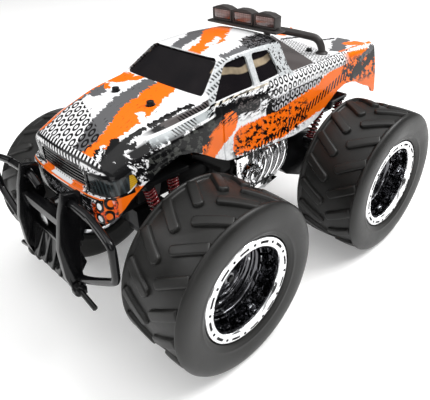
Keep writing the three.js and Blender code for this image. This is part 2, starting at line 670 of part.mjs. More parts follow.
// The turns of each gear put teeth into spaces at rest.
const meshTurn = (teeth, towards) => (towards * teeth) / (2 * Math.PI);

function idlerGear() {
  const small = gear(TEETH.idlerSmall, 2.2, 9, meshTurn(TEETH.idlerSmall, -IDLER_LEAN) + 0.5);
  const large = gear(TEETH.idlerLarge, 11, 16, meshTurn(TEETH.idlerLarge, Math.PI - IDLER_LEAN) + 0.5);
  return union(small, large, rod(4, [8, 0, 0], [12, 0, 0], 12), rod(1.5, [-32, 0, 0], [32, 0, 0], 8));
}

const axleGear = () =>
  union(gear(TEETH.axle, 3, 8.2, meshTurn(TEETH.axle, Math.PI - IDLER_LEAN)), rod(6, [-3, 0, 0], [9, 0, 0], 12)).subtract(
    rod(3.4, [-10, 0, 0], [20, 0, 0], 12),
  );

const rearShaft = () => rod(STUB_RADIUS, [-STUB_END, 0, 0], [STUB_END, 0, 0], 12);

// ---------------------------------------------------------------- wheels, drawn facing +X

function tyre() {
  const half = TYRE_WIDTH / 2;
  const tread = TYRE_RADIUS - LUG_HEIGHT;
  const bead = RIM_RADIUS + 2 * GAP;
  const side = [[half - 4.5, bead], [half, 55], [half - 1, 65.5], [half - 8, tread - 1.5]];
  const inside = [[half - 10.5, tread - TYRE_WALL - 1.5], [half - TYRE_WALL - 0.6, 62], [half - TYRE_WALL - 4.5, bead]];
  const mirrored = (points) => points.map(([x, r]) => [-x, r]).reverse();
  const profile = [...side, [0, tread], ...mirrored(side), ...mirrored(inside), ...inside];
  const carcass = latheX([...profile, profile[0]], 2 * LUGS_PER_ROW);
  const lugs = [];
  for (let i = 0; i < LUGS_PER_ROW; i++)
    for (const s of [-1, 1]) lugs.push(lug(s, ((i + (s > 0 ? 0.5 : 0)) * 2 * Math.PI) / LUGS_PER_ROW));
  return union(carcass, lugs);
}

// One tread bar, from near the middle of the tread out to the shoulder, slanting back.
function lug(side, angle) {
  const sweep = 0.3;
  const point = (x, a, r) => [side * x, r * Math.sin(angle + a), r * Math.cos(angle + a)];
  const inner = TYRE_RADIUS - 6;
  const bar = (r, w, end) => [
    point(1.5, -w, r), point(end, sweep - w, r - (end - 24) * 0.16), point(end, sweep + w, r - (end - 24) * 0.16), point(1.5, w, r),
  ];
  const corners = [...bar(inner, 0.072, 31.5), ...bar(TYRE_RADIUS - 0.02, 0.055, 29.5)];
  const quads = [[0, 3, 2, 1], [4, 5, 6, 7], [0, 1, 5, 4], [1, 2, 6, 5], [2, 3, 7, 6], [3, 0, 4, 7]];
  const geometry = new THREE.BufferGeometry();
  geometry.setAttribute("position", new THREE.Float32BufferAttribute(corners.flat(), 3));
  geometry.setIndex(quads.flatMap(([a, b, c, d]) => [a, b, c, a, c, d]));
  return solid(geometry);
}

function rim() {
  const dish = latheX(
    [[-12, 0], [-12, 9], [-5.5, 12], [-5.5, 39.6], [-30, 41], [-30, 45.8], [-26, 45.8], [-24, 43], [24, 43],
      [26, 45.8], [30, 45.8], [30, 40], [-1, 38.2], [-1, 14], [HUB_FACE, 8.5], [HUB_FACE, 0]],
    20,
  );
  return dish.subtract(rod(HUB_BORE, [-20, 0, 0], [30, 0, 0], 10));
}

const beadRing = () =>
  latheX([[30 + GAP, 37.5], [34.2, 38], [34.2, 44.5], [33, 46], [30 + GAP, 46], [30 + GAP, 37.5]], 20);

const wheelNut = () =>
  latheX([[HUB_FACE + GAP, 3.8], [HUB_FACE + GAP, 6.5], [10, 6], [10, 3.8], [HUB_FACE + GAP, 3.8]], 6);

function wheel(name, side) {
  const group = new THREE.Group();
  group.add(
    piece(name + "_tyre", tyre(), "rubber"),
    piece(name + "_rim", rim(), "chrome"),
    piece(name + "_bead_ring", beadRing(), "chrome"),
    piece(name + "_wheel_nut", wheelNut(), "steel"),
  );
  group.scale.x = side;
  return group;
}

// ---------------------------------------------------------------- assembly

const at = (object, x, y, z) => {
  object.position.set(x, y, z);
  return object;
};

function placedSpring(name, { foot, top }, side) {
  const a = new THREE.Vector3(side * foot[0], foot[1], foot[2]);
  const b = new THREE.Vector3(side * top[0], top[1], top[2]);
  const along = b.clone().sub(a);
  const mesh = piece(name, coil(along.length()), "spring");
  mesh.position.copy(a);
  mesh.quaternion.setFromUnitVectors(new THREE.Vector3(0, 0, 1), along.normalize());
  return mesh;
}

function bodyGroup() {
  const group = new THREE.Group();
  group.add(
    piece("body_shell", bodyShell(), "print"),
    piece("cab_glazing", glazing(), "tint"),
    piece("grille_insert", grille(), "black"),
    piece("headlamp_left", headlamp(1), "lens"),
    piece("headlamp_right", headlamp(-1), "lens"),
    piece("light_bar_housing", lightBarHousing(), "grey"),
    piece("light_bar_lens_right", lightBarLens(-26.4), "lens"),
    piece("light_bar_lens_centre", lightBarLens(0), "lens"),
    piece("light_bar_lens_left", lightBarLens(26.4), "lens"),
    piece("roll_bar", rollBar(), "grey"),
  );
  return group;
}

function chassisGroup() {
  const group = new THREE.Group();
  const fog = (name, x) => {
    const lamp = piece(name, fogLamp(), "lens");
    lamp.rotation.z = -Math.PI / 2;
    return at(lamp, x, -186.4, 115.5);
  };
  const engineRight = piece("engine_right", engineSide(), "chrome");
  engineRight.scale.x = -1;
  group.add(
    piece("chassis_tub", chassisTub(), "black"),
    at(piece("battery_cover", batteryCover(), "black"), 0, 0, FLOOR_Z + 0.2),
    at(piece("battery_pack", batteryPack(), "battery"), 0, 0, FLOOR_Z + 9.6),
    at(piece("circuit_board", circuitBoard(), "board"), 0, 70, END_FLOOR_Z + 4),
    at(piece("power_switch", powerSwitch(), "grey"), SWITCH_X, -2, FLOOR_Z),
    piece("bumper_frame", bumperFrame(), "black"),
    piece("bull_bar", bullBar(), "gloss"),
    fog("fog_lamp_left", 13),
    fog("fog_lamp_right", -13),
    piece("engine_left", engineSide(), "chrome"),
    engineRight,
    piece("front_shock_tower", frontTower(), "black"),
    piece("rear_shock_tower", rearTower(), "black"),
  );
  return group;
}

function springGroup() {
  const group = new THREE.Group();
  for (const [name, spring] of Object.entries(SPRINGS))
    for (const [word, side] of [["left", 1], ["right", -1]])
      group.add(placedSpring(`${name}_spring_${word}`, spring, side));
  return group;
}

function frontGroup() {
  const group = new THREE.Group();
  group.add(
    piece("front_axle", frontAxle(), "black"),
    at(piece("tie_rod", tieRod(), "black"), 0, -yA + STEER_ARM, zA),
    at(piece("steering_servo", steeringServo(), "black"), 0, -yA, zA),
  );
  for (const [word, side] of [["left", 1], ["right", -1]]) {
    const corner = at(new THREE.Group(), side * KINGPIN_X, -yA, zA);
    const arm = piece(`steering_knuckle_${word}`, knuckle(), "black");
    arm.scale.x = side;
    corner.add(arm, at(wheel(`front_${word}`, side), side * (HALF_TRACK - KINGPIN_X), 0, 0));
    group.add(corner);
  }
  return group;
}

function rearGroup() {
  const group = new THREE.Group();
  const axle = at(new THREE.Group(), 0, yA, zA);
  axle.add(
    piece("rear_axle_shaft", rearShaft(), "steel"),
    piece("axle_gear", axleGear(), "nylon"),
    at(wheel("rear_left", 1), HALF_TRACK, 0, 0),
    at(wheel("rear_right", -1), -HALF_TRACK, 0, 0),
  );
  group.add(
    piece("gearbox_case", gearboxCase(), "black"),
    piece("gearbox_cover", gearboxCover(), "black"),
    at(piece("drive_motor", driveMotor(), "steel"), 0, MOTOR.y, MOTOR.z),
    at(piece("motor_pinion", motorPinion(), "nylon"), 0, MOTOR.y, MOTOR.z),
    at(piece("idler_gear", idlerGear(), "nylon"), 0, IDLER.y, IDLER.z),
    axle,
  );
  return group;
}

const truck = new THREE.Group();
truck.add(bodyGroup(), chassisGroup(), springGroup(), frontGroup(), rearGroup());
const extent = new THREE.Box3().setFromObject(truck, true);
truck.position.set(0, -(extent.min.y + extent.max.y) / 2, -extent.min.z);

export default truck;
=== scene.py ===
"""The looks of a radio-controlled monster truck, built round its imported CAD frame.

Shapes are drawn in millimetres about the middle of the wheelbase, on the ground, with the nose
towards -Y and the truck's left side towards +X, and pt() turns them into the frame's metres.
"""

import json
import math

import bmesh
import bpy
import numpy as np
from mathutils import Matrix, Vector


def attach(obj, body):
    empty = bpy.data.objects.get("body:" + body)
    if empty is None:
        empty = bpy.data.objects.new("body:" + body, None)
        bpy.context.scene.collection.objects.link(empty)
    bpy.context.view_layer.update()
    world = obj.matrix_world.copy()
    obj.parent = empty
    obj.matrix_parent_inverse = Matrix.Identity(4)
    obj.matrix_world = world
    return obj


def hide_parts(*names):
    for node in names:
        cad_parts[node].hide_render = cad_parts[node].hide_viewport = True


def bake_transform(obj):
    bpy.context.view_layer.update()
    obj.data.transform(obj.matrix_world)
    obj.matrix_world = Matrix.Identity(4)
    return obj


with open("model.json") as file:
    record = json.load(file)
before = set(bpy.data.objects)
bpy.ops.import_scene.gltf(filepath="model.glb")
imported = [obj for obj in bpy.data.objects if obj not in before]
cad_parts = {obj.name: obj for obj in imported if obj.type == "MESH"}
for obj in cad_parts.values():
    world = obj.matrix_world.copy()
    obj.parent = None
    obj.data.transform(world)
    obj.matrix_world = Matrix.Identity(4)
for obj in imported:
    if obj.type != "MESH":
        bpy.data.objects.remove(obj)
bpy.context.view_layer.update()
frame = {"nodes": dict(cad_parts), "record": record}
NODES = frame["nodes"]

# ---------------------------------------------------------------- driving dimensions

OFFSET = (0.0, 10.0, -0.133)  # from the drawing's origin to the frame's, in millimetres
TYRE_RADIUS = 75.0
TREAD_RADIUS = 71.6
HALF_TRACK = 103.5
HALF_WHEELBASE = 107.0
LUGS_PER_ROW = 18


def pt(x, y, z):
    return Vector(((x + OFFSET[0]) / 1000, (y + OFFSET[1]) / 1000, (z + OFFSET[2]) / 1000))


# ---------------------------------------------------------------- meshes


def link(obj):
    bpy.context.scene.collection.objects.link(obj)
    return obj


def mesh_piece(name, points, faces, smooth=True):
    """A mesh object from millimetre points in the drawing's frame."""
    mesh = bpy.data.meshes.new(name)
    mesh.from_pydata([tuple(pt(*p)) for p in points], [], [tuple(f) for f in faces])
    mesh.validate()
    for poly in mesh.polygons:
        poly.use_smooth = smooth
    return link(bpy.data.objects.new(name, mesh))


def applied(obj):
    """Bakes an object's modifiers into its mesh."""
    graph = bpy.context.evaluated_depsgraph_get()
    mesh = bpy.data.meshes.new_from_object(obj.evaluated_get(graph))
    obj.modifiers.clear()
    obj.data = mesh
    return obj


def tidy(obj, sharp=35.0, weld=1e-5):
    """Welds doubled points, turns faces outward and marks sharp edges."""
    bm = bmesh.new()
    bm.from_mesh(obj.data)
    bmesh.ops.remove_doubles(bm, verts=bm.verts, dist=weld)
    bmesh.ops.dissolve_degenerate(bm, dist=weld / 4, edges=bm.edges)
    bmesh.ops.delete(bm, geom=[e for e in bm.edges if not e.link_faces], context="EDGES")
    bmesh.ops.recalc_face_normals(bm, faces=bm.faces)
    limit = math.radians(sharp)
    for edge in bm.edges:
        edge.smooth = len(edge.link_faces) != 2 or edge.calc_face_angle(0) < limit
    for face in bm.faces:
        face.smooth = True
    bm.to_mesh(obj.data)
    bm.free()
    return obj


def grid_faces(rows, cols, wrap_rows=False, wrap_cols=False):
    faces = []
    for i in range(rows if wrap_rows else rows - 1):
        for j in range(cols if wrap_cols else cols - 1):
            a, b = i * cols, ((i + 1) % rows) * cols
            k = (j + 1) % cols
            faces.append((a + j, b + j, b + k, a + k))
    return faces


def joined(name, objs):
    """Joins objects into one, keeping each one's material."""
    bm = bmesh.new()
    slots = []
    for obj in objs:
        part = obj.data.copy()
        part.transform(obj.matrix_world)
        index = []
        for material in obj.data.materials or [None]:
            if material not in slots:
                slots.append(material)
            index.append(slots.index(material))
        for poly in part.polygons:
            poly.material_index = index[min(poly.material_index, len(index) - 1)]
        bm.from_mesh(part)
        bpy.data.meshes.remove(part)
        bpy.data.objects.remove(obj)
    mesh = bpy.data.meshes.new(name)
    bm.to_mesh(mesh)
    bm.free()
    for material in slots:
        if material:
            mesh.materials.append(material)
    return link(bpy.data.objects.new(name, mesh))


def revolve(name, profile, segments, at, side=1, sharp=35.0, axis="x"):
    """A solid of revolution; the profile is a closed ring of (place along the axis, radius)."""
    points = []
    for a in angles(segments):
        for along, r in profile:
            u, v = r * math.sin(a), r * math.cos(a)
            step = {"x": (side * along, u, v), "y": (u, side * along, v), "z": (u, v, side * along)}
            points.append(tuple(c + d for c, d in zip(at, step[axis])))
    faces = grid_faces(segments, len(profile), wrap_rows=True, wrap_cols=True)
    return tidy(mesh_piece(name, points, faces), sharp)


def filleted(points, radius, steps):
    """Rounds each corner of a closed outline by a fixed distance."""
    out = []
    count = len(points)
    for i in range(count):
        p, v, q = (Vector(points[(i + k) % count]) for k in (-1, 0, 1))
        back = min(radius, (p - v).length * 0.45)
        ahead = min(radius, (q - v).length * 0.45)
        a, b = v + (p - v).normalized() * back, v + (q - v).normalized() * ahead
        for k in range(steps + 1):
            t = k / steps
            out.append(tuple(a * (1 - t) ** 2 + v * (2 * t * (1 - t)) + b * t * t))
    return out


def prism_faces(count):
    """The two ends and the sides of a prism whose second ring of points follows its first."""
    faces = [tuple(range(count)), tuple(range(2 * count - 1, count - 1, -1))]
    return faces + [(i, (i + 1) % count, (i + 1) % count + count, i + count) for i in range(count)]


def prism(name, outline, axis, low, high):
    """An outline pushed along an axis: its coordinates are the other two axes, in order."""
    place = {
        "x": lambda u, v, w: (w, u, v),
        "y": lambda u, v, w: (u, w, v),
        "z": lambda u, v, w: (u, v, w),
    }[axis]
    points = [place(*p, low) for p in outline] + [place(*p, high) for p in outline]
    obj = mesh_piece(name, points, prism_faces(len(outline)), smooth=False)
    bm = bmesh.new()
    bm.from_mesh(obj.data)
    bmesh.ops.recalc_face_normals(bm, faces=bm.faces)
    bm.to_mesh(obj.data)
    bm.free()
    return obj


def side_prism(name, outline, side, near_x, far_x):
    """An outline in y and z pushed along x, on one side of the truck."""
    return prism(name, outline, "x", *sorted((side * near_x, side * far_x)))


def finished(obj, *materials):
    """Gives an object its materials in place of any that it has."""
    obj.data.materials.clear()
    for material in materials:
        obj.data.materials.append(material)
    return obj


def bevelled(obj, width, segments, angle=35.0):
    mod = obj.modifiers.new("edges", "BEVEL")
    mod.width = width / 1000
    mod.segments = segments
    mod.limit_method = "ANGLE"
    mod.angle_limit = math.radians(angle)
    applied(obj)
    return tidy(obj, 40.0)


def slab(name, x0, x1, y0, y1, z0, z1, round_by):
    obj = prism(name, [(x0, y0), (x1, y0), (x1, y1), (x0, y1)], "z", z0, z1)
    return bevelled(obj, round_by, 3)


def cut(obj, cutters, operation="DIFFERENCE"):
    for cutter in cutters:
        mod = obj.modifiers.new("cut", "BOOLEAN")
        mod.operation = operation
        mod.object = cutter
        mod.solver = "MANIFOLD"
    applied(obj)
    for cutter in cutters:
        bpy.data.objects.remove(cutter)
    return obj


def tube(name, points, radius, sides, samples, closed=False):
    """A round tube along a smooth curve through its points."""
    path = smooth_path([Vector(p) for p in points], samples, closed)
    verts = []
    up = Vector((0, 0, 1))
    count = len(path)
    for i, p in enumerate(path):
        ahead = path[(i + 1) % count] if closed else path[min(i + 1, count - 1)]
        behind = path[i - 1] if closed else path[max(i - 1, 0)]
        along = (ahead - behind).normalized()
        if i == 0:
            side = along.cross(up)
            if side.length < 1e-3:
                side = along.cross(Vector((1, 0, 0)))
        side = (side - along * side.dot(along)).normalized()
        over = along.cross(side)
        circle = [side * math.cos(a) + over * math.sin(a) for a in angles(sides)]
        verts += [p + spoke * radius for spoke in circle]
    faces = grid_faces(count, sides, wrap_rows=closed, wrap_cols=True)
    if not closed:
        for start in (0, (count - 1) * sides):
            faces.append(tuple(range(start, start + sides)))
    return tidy(mesh_piece(name, verts, faces), 50.0)


def angles(count):
    return [2 * math.pi * i / count for i in range(count)]


def smooth_path(points, samples, closed):
    """Points along a curve that passes through the given ones."""
    count = len(points)
    path = []
    for i in range(count if closed else count - 1):
        if closed:
            p = [points[(i + k) % count] for k in (-1, 0, 1, 2)]
        else:
            p = [points[min(max(i + k, 0), count - 1)] for k in (-1, 0, 1, 2)]
        m1, m2 = (p[2] - p[0]) / 2, (p[3] - p[1]) / 2
        for k in range(samples):
            t = k / samples
            h = (2 * t**3 - 3 * t**2 + 1, t**3 - 2 * t**2 + t, -2 * t**3 + 3 * t**2, t**3 - t**2)
            path.append(p[1] * h[0] + m1 * h[1] + p[2] * h[2] + m2 * h[3])
    return path if closed else [*path, points[-1]]


def refined(node, width, segments, angle=30.0):
    """A copy of a CAD node with clean faces and rounded edges, standing for that node."""
    source = NODES[node]
    mesh = source.data.copy()
    obj = link(bpy.data.objects.new(node + "_form", mesh))
    mesh.transform(source.matrix_world)
    mesh.materials.clear()
    bm = bmesh.new()
    bm.from_mesh(mesh)
    bmesh.ops.remove_doubles(bm, verts=bm.verts, dist=2e-5)
    bmesh.ops.dissolve_limit(bm, angle_limit=math.radians(4), verts=bm.verts, edges=bm.edges)
    bm.to_mesh(mesh)
    bm.free()
    bevelled(obj, width, segments, angle)
    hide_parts(node)
    return obj


# ---------------------------------------------------------------- material graphs


class Graph:
    """A material's node tree, built from Python expressions over its sockets."""

    def __init__(self, name):
        self.material = bpy.data.materials.new(name)
        self.material.use_nodes = True
        self.tree = self.material.node_tree
        self.nodes = self.tree.nodes
        self.nodes.clear()
        self.out = self.node("OutputMaterial")
        self.shader = self.node("BsdfPrincipled")
        self.link(self.shader.outputs[0], self.out.inputs["Surface"])

    def node(self, kind, **settings):
        node = self.nodes.new("ShaderNode" + kind)
        for key, value in settings.items():
            setattr(node, key, value)
        return node

    def link(self, a, b):
        self.tree.links.new(a, b)

    def put(self, socket, value):
        if isinstance(value, Val):
            self.link(value.socket, socket)
        elif hasattr(value, "is_output"):
            self.link(value, socket)
        elif isinstance(value, (tuple, list)) and len(value) == 3 and socket.type == "RGBA":
            socket.default_value = (*value, 1)
        else:
            socket.default_value = value

    def math(self, op, *values):
        node = self.node("Math", operation=op)
        for socket, value in zip(node.inputs, values):
            self.put(socket, value)
        return Val(self, node.outputs[0])

    def place(self):
        """Object coordinates in the drawing's millimetres, as (x, y, z) and as one vector."""
        coords = self.node("TexCoord").outputs["Object"]
        scale = self.node("Mapping")
        scale.inputs["Scale"].default_value = (1000, 1000, 1000)
        scale.inputs["Location"].default_value = tuple(-v for v in OFFSET)
        self.link(coords, scale.inputs["Vector"])
        vector = scale.outputs[0]
        split = self.node("SeparateXYZ")
        self.link(vector, split.inputs[0])
        return [Val(self, s) for s in split.outputs], vector

    def vector(self, x, y, z=0.0):
        node = self.node("CombineXYZ")
        for socket, value in zip(node.inputs, (x, y, z)):
            self.put(socket, value)
        return node.outputs[0]

    def normal(self):
        split = self.node("SeparateXYZ")
        self.link(self.node("NewGeometry").outputs["Normal"], split.inputs[0])
        return [Val(self, s) for s in split.outputs]

    def vec(self, op, a, b=None):
        """A vector sum, or the number that a dot product or a length gives."""
        node = self.node("VectorMath", operation=op)
        self.put(node.inputs[0], a)
        if b is not None:
            self.put(node.inputs[1], b)
        number = op in ("DOT_PRODUCT", "LENGTH")
        return Val(self, node.outputs["Value"]) if number else node.outputs[0]

    def noise(self, vector, scale, detail, rough=0.5, seed=0.0):
        """Noise from about -0.5 to 0.5."""
        node = self.node("TexNoise", noise_dimensions="4D")
        self.put(node.inputs["Vector"], vector)
        self.put(node.inputs["W"], seed)
        self.put(node.inputs["Scale"], scale)
        self.put(node.inputs["Detail"], detail)
        self.put(node.inputs["Roughness"], rough)
        return Val(self, node.outputs[0]) - 0.5

    def cells(self, vector, scale, randomness):
        """The distance to the nearest of a scatter of points."""
        node = self.node("TexVoronoi")
        self.put(node.inputs["Vector"], vector)
        self.put(node.inputs["Scale"], scale)
        self.put(node.inputs["Randomness"], randomness)
        return Val(self, node.outputs["Distance"])

    def mix(self, low, high, amount):
        node = self.node("Mix", data_type="RGBA")
        self.put(node.inputs[0], amount)
        self.put(node.inputs[6], low)
        self.put(node.inputs[7], high)
        return node.outputs[2]

    def layers(self, paint, *coats):
        """Lays coats, each a (colour, mask), over a paint in turn."""
        for colour, mask in coats:
            paint = self.mix(paint, colour, mask)
        return paint

    def bump(self, height, distance, strength=1.0):
        node = self.node("Bump")
        self.put(node.inputs["Height"], height)
        self.put(node.inputs["Distance"], distance / 1000)
        self.put(node.inputs["Strength"], strength)
        return node.outputs[0]

    def finish(self, **inputs):
        for key, value in inputs.items():
            self.put(self.shader.inputs[key.replace("_", " ")], value)
        return self.material


class Val:
    """A number that varies over the surface."""

    def __init__(self, graph, socket):
        self.graph = graph
        self.socket = socket

    def __add__(self, other):
        return self.graph.math("ADD", self, other)

    def __sub__(self, other):
        return self.graph.math("SUBTRACT", self, other)

    def __mul__(self, other):
        return self.graph.math("MULTIPLY", self, other)

    def __rsub__(self, other):
        return self.graph.math("SUBTRACT", other, self)

    __radd__ = __add__
    __rmul__ = __mul__

    def __abs__(self):
        return self.graph.math("ABSOLUTE", self)

    def wrap(self):
        return self.graph.math("FRACT", self)

    def floor(self):
        return self.graph.math("FLOOR", self)

    def root(self):
        return self.graph.math("SQRT", self)

    def below(self, limit, soft):
        """1 where the value is under the limit, fading over a soft width."""
        return clamp((limit - self) * (1 / soft) + 0.5)

    def above(self, limit, soft):
        return clamp((self - limit) * (1 / soft) + 0.5)


def clamp(value):
    node = value.graph.node("Clamp")
    value.graph.put(node.inputs[0], value)
    return Val(value.graph, node.outputs[0])


def most(*values):
    out = values[0]
    for value in values[1:]:
        out = out.graph.math("MAXIMUM", out, value)
    return out


def moulded(name, colour, rough, grain=0.02, spread=0.12, coat=0.0):
    """Moulded plastic or rubber: slight colour and gloss mottling over a fine grain."""
    g = Graph(name)
    _, where = g.place()
    broad = g.noise(where, 0.09, 3.0)
    fine = g.noise(where, 1.6, 3.0, 0.6, seed=3.0)
    dark = tuple(c * (1 - spread) for c in colour)
    light = tuple(min(1.0, c * (1 + spread) + spread * 0.01) for c in colour)
    tone = g.mix(dark, light, clamp(broad * 1.6 + fine * 0.7 + 0.5))
    gloss = clamp(fine * 0.25 + broad * 0.2 + rough)
    return g.finish(Base_Color=tone, Roughness=gloss, Normal=g.bump(fine, grain), Coat_Weight=coat,
                    Coat_Roughness=0.06, Specular_IOR_Level=0.14)


def plated(name, colour, rough, wave, smoke):
    """Bright plating over moulded plastic: faint waves, a little haze and dust in places."""
    g = Graph(name)
    _, where = g.place()
    wavy = g.noise(where, 0.16, 2.0)
    haze = g.noise(where, 0.5, 4.0, 0.65, seed=5.0)
    tone = g.mix(tuple(c * (1 - smoke) for c in colour), colour, clamp(haze * 1.8 + 0.6))
    gloss = clamp(haze * 0.12 + rough)
    return g.finish(Base_Color=tone, Metallic=1.0, Roughness=gloss,
                    Normal=g.bump(wavy, wave))


# ---------------------------------------------------------------- camera, floor and lights

CAMERA_AT = pt(311.84, -305.72, 331.23)
CAMERA_AIM = Vector((-0.61176, 0.57367, -0.54466)).normalized()
CAMERA_ROLL = math.radians(-2.169)
CAMERA_LENS = 39.89
FLOOR_REACH = 6.0
# name, place, where it aims, size and power
LIGHTS = (
    ("key", (0.75, 1.0, 1.6), (0, 0, 0.1), (1.0, 1.0), 30.0),
    ("top", (0.1, 0.1, 2.0), (0, 0, 0), (2.2, 2.2), 26.0),
    ("fill", (-1.0, -1.2, 1.2), (0, 0, 0.1), (1.2, 1.0), 9.0),
    ("front", (1.1, -1.0, 0.9), (0, 0, 0.1), (0.8, 0.8), 4.0),
)


def make_camera():
    data = bpy.data.cameras.new("camera")
    data.lens = CAMERA_LENS
    data.sensor_width = 36.0
    data.sensor_fit = "HORIZONTAL"
    data.clip_start = 0.01
    data.clip_end = 20.0
    obj = link(bpy.data.objects.new("camera", data))
    flat_right = CAMERA_AIM.cross(Vector((0, 0, 1))).normalized()
    flat_up = flat_right.cross(CAMERA_AIM)
    right = flat_right * math.cos(CAMERA_ROLL) + flat_up * math.sin(CAMERA_ROLL)
    up = flat_up * math.cos(CAMERA_ROLL) - flat_right * math.sin(CAMERA_ROLL)
    turn = Matrix((right, up, -CAMERA_AIM)).transposed().to_4x4()
    obj.matrix_world = Matrix.Translation(CAMERA_AT) @ turn
    bpy.context.scene.camera = obj


def make_stage():
    mesh = bpy.data.meshes.new("floor")
    corners = ((-1, -1), (1, -1), (1, 1), (-1, 1))
    mesh.from_pydata([(x * FLOOR_REACH, y * FLOOR_REACH, 0) for x, y in corners], [], [(0, 1, 2, 3)])
    floor = link(bpy.data.objects.new("floor", mesh))
    g = Graph("floor_paper")
    _, where = g.place()
    paper = g.noise(where, 0.02, 3.0)
    tone = g.mix((0.85, 0.85, 0.845), (0.88, 0.88, 0.875), clamp(paper + 0.5))
    mesh.materials.append(g.finish(Base_Color=tone, Roughness=0.75, Specular_IOR_Level=0.1,
                                   Emission_Color=(1, 1, 1), Emission_Strength=0.22))


def area_light(name, at, aim, size, power):
    data = bpy.data.lights.new(name, "AREA")
    data.shape = "RECTANGLE"
    data.size, data.size_y = size
    data.energy = power
    obj = link(bpy.data.objects.new(name, data))
    obj.location = at
    obj.rotation_euler = (Vector(aim) - Vector(at)).to_track_quat("-Z", "Y").to_euler()


def make_sky():
    """A pale studio: a bright ceiling, darker walls with soft panels, white to the camera."""
    world = bpy.data.worlds.new("studio")
    bpy.context.scene.world = world
    world.use_nodes = True
    tree = world.node_tree
    g = Graph.__new__(Graph)
    g.tree, g.nodes = tree, tree.nodes
    back = tree.nodes["Background"]
    split = g.node("SeparateXYZ")
    direction = g.node("TexCoord").outputs["Generated"]
    g.link(direction, split.inputs[0])
    x, y, z = [Val(g, s) for s in split.outputs]
    ceiling = clamp((z - 0.42) * 3.2)
    cloud = g.noise(g.vector(x, y, z * 0.6), 1.6, 1.0, seed=2.0)
    panels = clamp((cloud + 0.02) * 7) * 0.55
    glow = ceiling * 0.42 + panels * (1 - ceiling) * 0.7 + 0.06
    seen = Val(g, g.node("LightPath").outputs["Is Camera Ray"])
    shade = glow * (1 - seen) + seen
    g.link(g.mix((0, 0, 0), (1.0, 1.0, 1.0), clamp(shade)), back.inputs[0])
    back.inputs[1].default_value = 1.0


def make_lights():
    make_sky()
    for light in LIGHTS:
        area_light(*light)
    bpy.context.scene.view_settings.view_transform = "Standard"
    bpy.context.scene.view_settings.look = "None"


make_camera()
make_stage()
make_lights()


# ---------------------------------------------------------------- wheels

LUG_PITCH = 360 / LUGS_PER_ROW
SEAM_STARTS = (38.0, 158.0, 278.0)  # degrees round the wheel
LUG_SLANT = 17.0  # how far back a lug's outer end lies, along the tread
LUG_ENDS = (2.6, 29.4)
LUG_HALF_WIDTH = 4.3
LUG_LEVELS = ((0.8, -1.6), (0.5, 0.0), (0.15, 1.3), (-0.2, 2.4), (-0.65, 3.0), (-1.4, 3.25),
              (-2.5, 3.3))
OUTER_ROW_PHASE = 3.5
INNER_ROW_PHASE = 13.0
MM_PER_DEGREE = TYRE_RADIUS * math.pi / 180
POCKETS_PER_RING = 24
BARREL_RADIUS = 37  # of the rim's wall, where the pockets are
RING_SLOTS = 12
RING_PITCH = 360 / RING_SLOTS
FIRST_SLOT = 8  # degrees round the wheel from its top
SLOT_HALF_ANGLE = 6.5
SLOT_INSIDE = 40.9  # radii between which the slots lie
SLOT_OUTSIDE = 43.1
SLOT_FLOOR_X = 30.3  # from the wheel's middle plane to the floor of the slots
NUT_PROFILE = ((6.3, 3.9), (6.3, 6.4), (6.7, 6.7), (9.4, 6.5), (10.2, 5.4), (10.6, 4.2), (10.4, 3.6),
               (9.6, 3.5))
WHEEL_SPOTS = (
    ("front_left", 1, -HALF_WHEELBASE, "wheel_front_left"),
    ("front_right", -1, -HALF_WHEELBASE, "wheel_front_right"),
    ("rear_left", 1, HALF_WHEELBASE, "rear_wheels"),
    ("rear_right", -1, HALF_WHEELBASE, "rear_wheels"),
)


def smoothstep(low, high, value):
    t = np.clip((np.asarray(value, float) - low) / (high - low), 0, 1)
    return t * t * (3 - 2 * t)


def on_wheel(side, y, x, r, degrees):
    a = math.radians(degrees)
    return (side * (HALF_TRACK + x), y - side * r * math.sin(a), TYRE_RADIUS + r * math.cos(a))


def spun(name, side, y, profile, relief=None, steps=240, sharp=60.0):
    """A closed profile of (x, radius) turned about the wheel's axle, with an optional relief."""
    degrees = np.arange(steps) * 360 / steps
    gx, gd = np.meshgrid([p[0] for p in profile], degrees)
    gr = np.tile([p[1] for p in profile], (steps, 1)).astype(float)
    if relief:
        gx, gr = relief(gx, gr, gd)
    turn = np.radians(degrees)[:, None]
    points = np.stack([side * (HALF_TRACK + gx), y - side * gr * np.sin(turn),
                       TYRE_RADIUS + gr * np.cos(turn)], -1)
    faces = grid_faces(steps, len(profile), wrap_rows=True, wrap_cols=True)
    return tidy(mesh_piece(name, points.reshape(-1, 3).tolist(), faces), sharp, 2e-6)


def carcass_relief(gx, gr, gd):
    """Shallow V seams across the tread, where the mould's segments meet, and a rib by the rim."""
    tread = (gr > 70.5) & (np.abs(gx) < 27)
    for start in SEAM_STARTS:
        off = np.mod(gd - start + np.abs(gx + 6) * 0.62 + 180, 360) - 180
        gr = gr + 0.35 * smoothstep(1.2, 0.2, np.abs(off) * MM_PER_DEGREE) * tread
    rib = 0.4 * smoothstep(1.0, 0.2, np.abs(gr - 51.2)) * (np.abs(gx) > 31)
    return gx + np.sign(gx) * rib, gr


def tread_floor(x):
    return TREAD_RADIUS - 0.1 - 0.8 * (x / 28.8) ** 4


